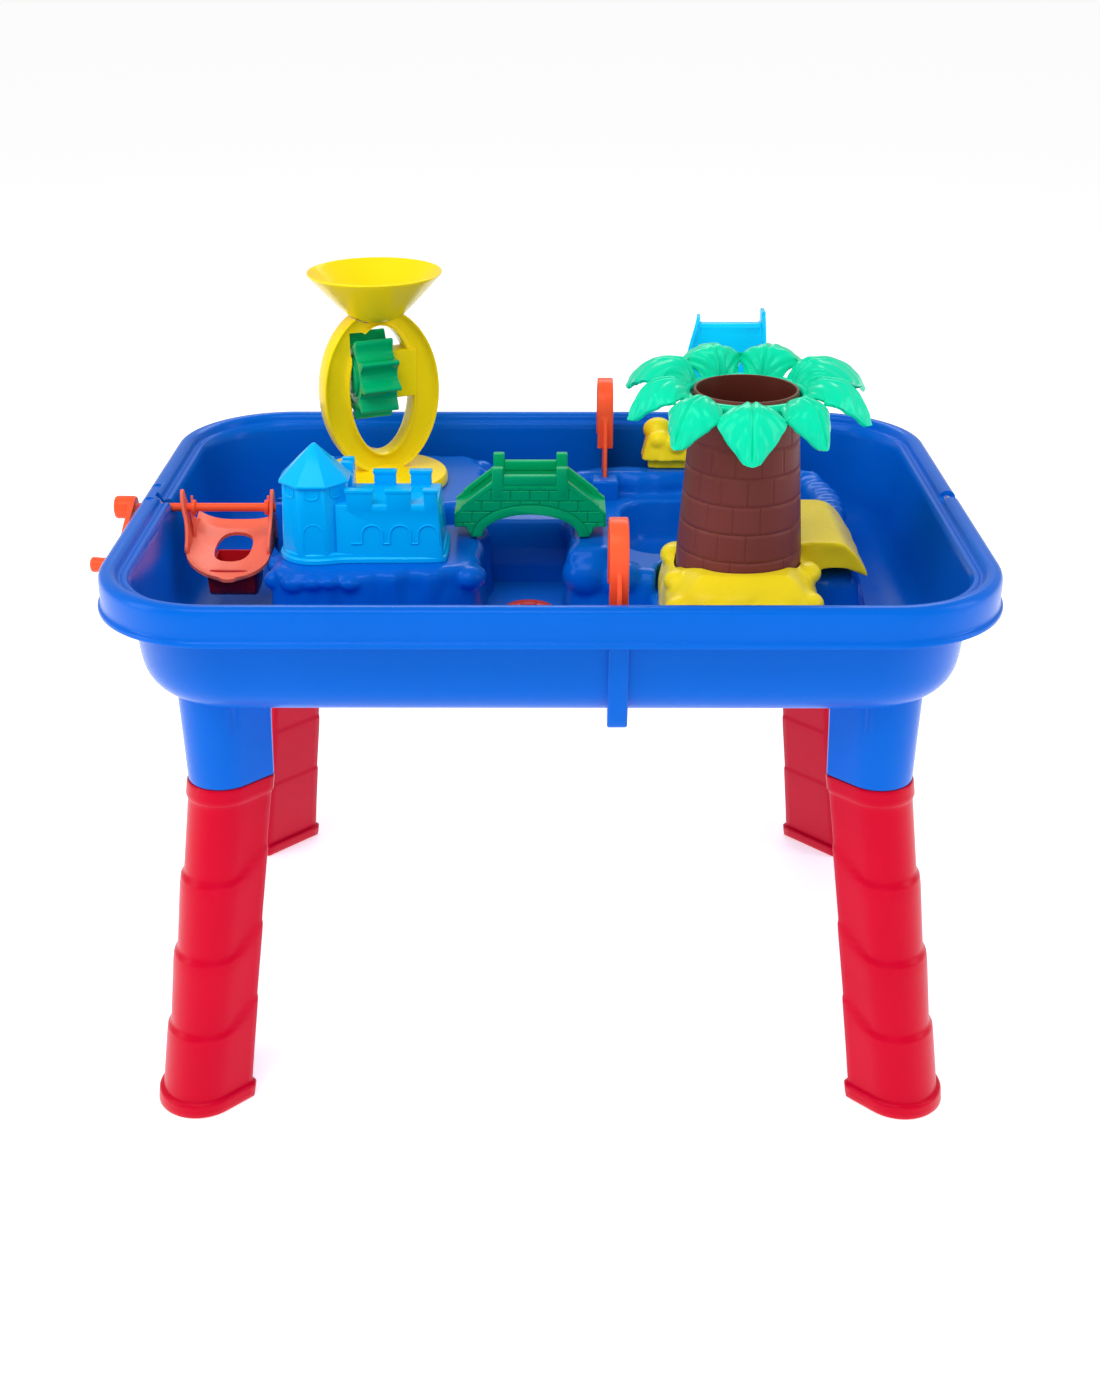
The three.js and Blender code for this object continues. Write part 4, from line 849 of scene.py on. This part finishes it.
# ------------------------------------------------------------------ scoop, crank, grip
SY, SZ = 3, 436
nu, nv = 41, 49
top_s, bot_s = [], []
for y in np.linspace(-54, 42, nv):
    t = (y + 54) / 96
    inset_ = 30 * (1 - math.sqrt(max(0, 1 - (max(0, (-30 - y)) / 24.6) ** 2))) if y < -30 else 0
    xl = -301 + 8 * fade(-y, 20, 54) + inset_
    xr = -231 - 1 * fade(-y, 20, 54) - inset_
    base = np.interp(y, [-54, -48, -36, 0, 30, 42], [391.5, 392.5, 394.5, 398.5, 404.5, 408.5])
    up = np.interp(y, [-54, -40, -20, 10, 42], [2, 5, 10, 13, 8])
    rt, rb = [], []
    for k in np.linspace(-1, 1, nu):
        x = (xl + xr) / 2 + k * (xr - xl) / 2
        z = base + up * abs(k) ** 3.2 + 2.8
        rt.append([x, y, z])
        rb.append([x, y, z - 2.8])
    top_s.append(rt)
    bot_s.append(rb)
scoop = new("scoop_v", *loft([np.array(a + b[::-1]) for a, b in zip(top_s, bot_s)]))
scoop = cut(scoop, prism("hole", chaikin([[-278, -25], [-252, -25], [-249, 8], [-257, 24], [-276, 24], [-282, 0]], 2), 370, 430, "z"))
EAR = chaikin([[-30, 409], [-22, 401], [14, 404], [32, 411], [34, 415], [20, 420], [12, 428], [8.4, 441], [5.4, 450.5], [2.6, 452], [-0.4, 450.5], [-4.6, 440], [-9, 428], [-20, 418]], 2)
ears = [prism("ear", EAR, -301.3, -298.3, "x", 0.7, 2, 50), prism("ear2", EAR, -233.9, -231.0, "x", 0.7, 2, 50)]
ribs_ = [prism("er", chaikin([[SY - 2.2, 405], [SY + 2.2, 405], [SY + 1.6, 446], [SY - 1.6, 446]], 1), -298.6, -296.9, "x"), prism("er2", chaikin([[SY - 2.2, 407], [SY + 2.2, 407], [SY + 1.6, 446], [SY - 1.6, 446]], 1), -235.3, -233.6, "x")]
for e_, k_ in ((ears[0], -5.4), (ears[1], 1.6)):
    for v_ in e_.data.vertices:
        v_.co.x += k_ * S * fade(v_.co.z * 1000, 414, 446)
scoop = boole(scoop, ears + ribs_)
bk_o = chaikin([[-43, 397], [-41.5, 380], [-34.5, 371], [-8, 371], [-0.5, 376], [3.6, 386], [5, 398]], 2, False)
bk_i = chaikin([[-40, 400], [-38.8, 381], [-33.4, 373.6], [-9, 373.6], [-3, 378], [1, 387], [2.4, 400]], 2, False)
bucket = prism("bucket", bk_o, -281, -243, "x", 0.8, 2, 50)
bucket = cut(bucket, prism("bi", bk_i, -278.4, -245.6, "x"))
# the bucket gets the darker red, which is painted shade; the scoop's own plastic is one coral-red throughout
paint(bucket, "scoop_painted_shade_red")
bb_ = bucket
scoop = cut(scoop, [rod_x("sb", 3.8, -312, -226, SY, SZ, 32)])
finish_piece(scoop, "scoop", "scoop_coral", "scoop", angle=40)
finish_piece(bb_, "scoop", "scoop_coral", angle=40)

axle = rod_x("scoop_axle_v", 3.5, -343.6, -220.5, SY, SZ, 40)
axle = boole(axle, [rod_x("c1", 6.2, -298.1, -294.9, SY, SZ, 40), rod_x("c2", 6.2, -237.6, -234.1, SY, SZ, 40)])
finish_piece(axle, "scoop", "coral", "scoop_axle")
GYY, GZZ = -64, 411
ad = math.atan2(GZZ - SZ, GYY - SY)
ao = [[SY + 9 * math.cos(ad + math.pi / 2 + math.pi * i / 20), SZ + 9 * math.sin(ad + math.pi / 2 + math.pi * i / 20)] for i in range(21)]
ao += [[GYY + 7 * math.cos(ad - math.pi / 2 + math.pi * i / 20), GZZ + 7 * math.sin(ad - math.pi / 2 + math.pi * i / 20)] for i in range(21)]
arm_ = prism("crank_arm_v", ao, -349, -344.2, "x", 0.9, 3, 50)
kn = lambda a, r, z: -0.45 * (np.cos(a * 14) > 0.55) * (r > 8.5)
knob = lathe("knob", [[0.001, -346], [9.4, -346], [9.5, -359.2], [8.8, -361.3], [7.0, -362], [0.001, -361.2]], SY, SZ, 112, kn, "x")
arm_ = cut(boole(arm_, knob), rod_x("ab", 2.3, -356, -340, GYY, GZZ, 24))
finish_piece(arm_, "scoop", "coral", "crank_arm", angle=35)
grip = lathe("crank_grip_v", [[0.001, -368.9], [4.9, -368.8], [6.0, -367.8], [6.2, -366], [5.6, -359], [6.1, -351], [5.6, -349.5], [2.3, -349.5], [2.3, -366], [0.001, -366]], GYY, GZZ, 56, None, "x")
finish_piece(grip, "grip", "coral", "crank_grip", angle=40)
screw = boole(rod_x("crank_screw_v", 1.9, -365.5, -343.6, GYY, GZZ, 24, 0.3), rod_x("sh", 4, -343.8, -341.7, GYY, GZZ, 32, 0.5))
finish_piece(screw, "scoop", "steel", "crank_screw")

# ------------------------------------------------------------------ drain plug
plug = lathe("drain_plug_v", [[0.001, 345], [9.2, 345], [10.4, 346.4], [10.9, 356.9], [23, 356.9], [23.5, 357.6], [23.2, 359.6], [21.4, 361], [18.6, 361.4], [16.6, 360.2], [13, 359.8], [0.001, 359.8]], -18, -37, 96)
plug = boole(plug, prism("ph", chaikin([[-27, 358.5], [-9, 358.5], [-11.2, 365.6], [-14, 367], [-22, 367], [-24.8, 365.6]], 1), -39.5, -34.5, "y", 0.9, 3, 50))
finish_piece(plug, "plug", "plug_red", "drain_plug")
sl = [[11.6, 355.2], [20, 355.2], [21, 355.9], [20, 356.7], [11.6, 356.7]]
finish_piece(lathe("plug_seal_v", sl + sl[:1], -18, -37, 72), "plug", "seal_black", "plug_seal")

# ------------------------------------------------------------------ floor, lights, camera
fl = new("floor", [[-60000, -60000, -0.4], [60000, -60000, -0.4], [60000, 60000, -0.4], [-60000, 60000, -0.4]], [(0, 1, 2, 3)])
fm = bpy.data.materials.new("floor_paper")
fm.use_nodes = True
fb = fm.node_tree.nodes["Principled BSDF"]
fb.inputs["Base Color"].default_value = (0.93, 0.93, 0.935, 1)
fb.inputs["Roughness"].default_value = 0.8
fb.inputs["Emission Color"].default_value = (1, 1, 1, 1)
fb.inputs["Emission Strength"].default_value = 0.5
fl.data.materials.append(fm)

sc = bpy.context.scene
w = bpy.data.worlds.new("studio")
sc.world = w
w.use_nodes = True
bg = w.node_tree.nodes["Background"]
bg.inputs["Color"].default_value = (1, 1, 1, 1)
bg.inputs["Strength"].default_value = 0.5


def softbox(name, loc, target, sx, sy, watts):
    L_ = bpy.data.lights.new(name, "AREA")
    L_.shape, L_.size, L_.size_y, L_.energy = "RECTANGLE", sx, sy, watts
    o = bpy.data.objects.new(name, L_)
    sc.collection.objects.link(o)
    o.location = loc
    o.rotation_euler = (Vector(target) - Vector(loc)).to_track_quat("-Z", "Y").to_euler()


softbox("key", (-0.5, -1.1, 2.3), (0, 0, 0.4), 1.7, 1.1, 25)
softbox("left", (-2.0, -0.7, 1.1), (0, 0, 0.35), 0.8, 1.6, 13)
softbox("right", (2.0, -0.5, 1.2), (0, 0, 0.35), 0.8, 1.6, 12)
softbox("back", (0.2, 1.7, 1.9), (0, 0, 0.45), 1.8, 0.7, 12)
softbox("front", (0.1, -2.3, 0.7), (0, 0, 0.3), 1.6, 0.9, 5)

cam = bpy.data.cameras.new("camera")
cam.sensor_width, cam.lens, cam.sensor_fit = 36.0, 45.366, "AUTO"
cam.clip_start, cam.clip_end = 0.05, 100
co_ = bpy.data.objects.new("camera", cam)
sc.collection.objects.link(co_)
co_.location = (0.0025257 + 0.0145, -1.3624451, 0.9209339)
co_.rotation_euler = (rad(90 - 25.486414), 0, 0.0022357)
sc.camera = co_
sc.view_settings.view_transform = "Standard"
sc.view_settings.look = "None"
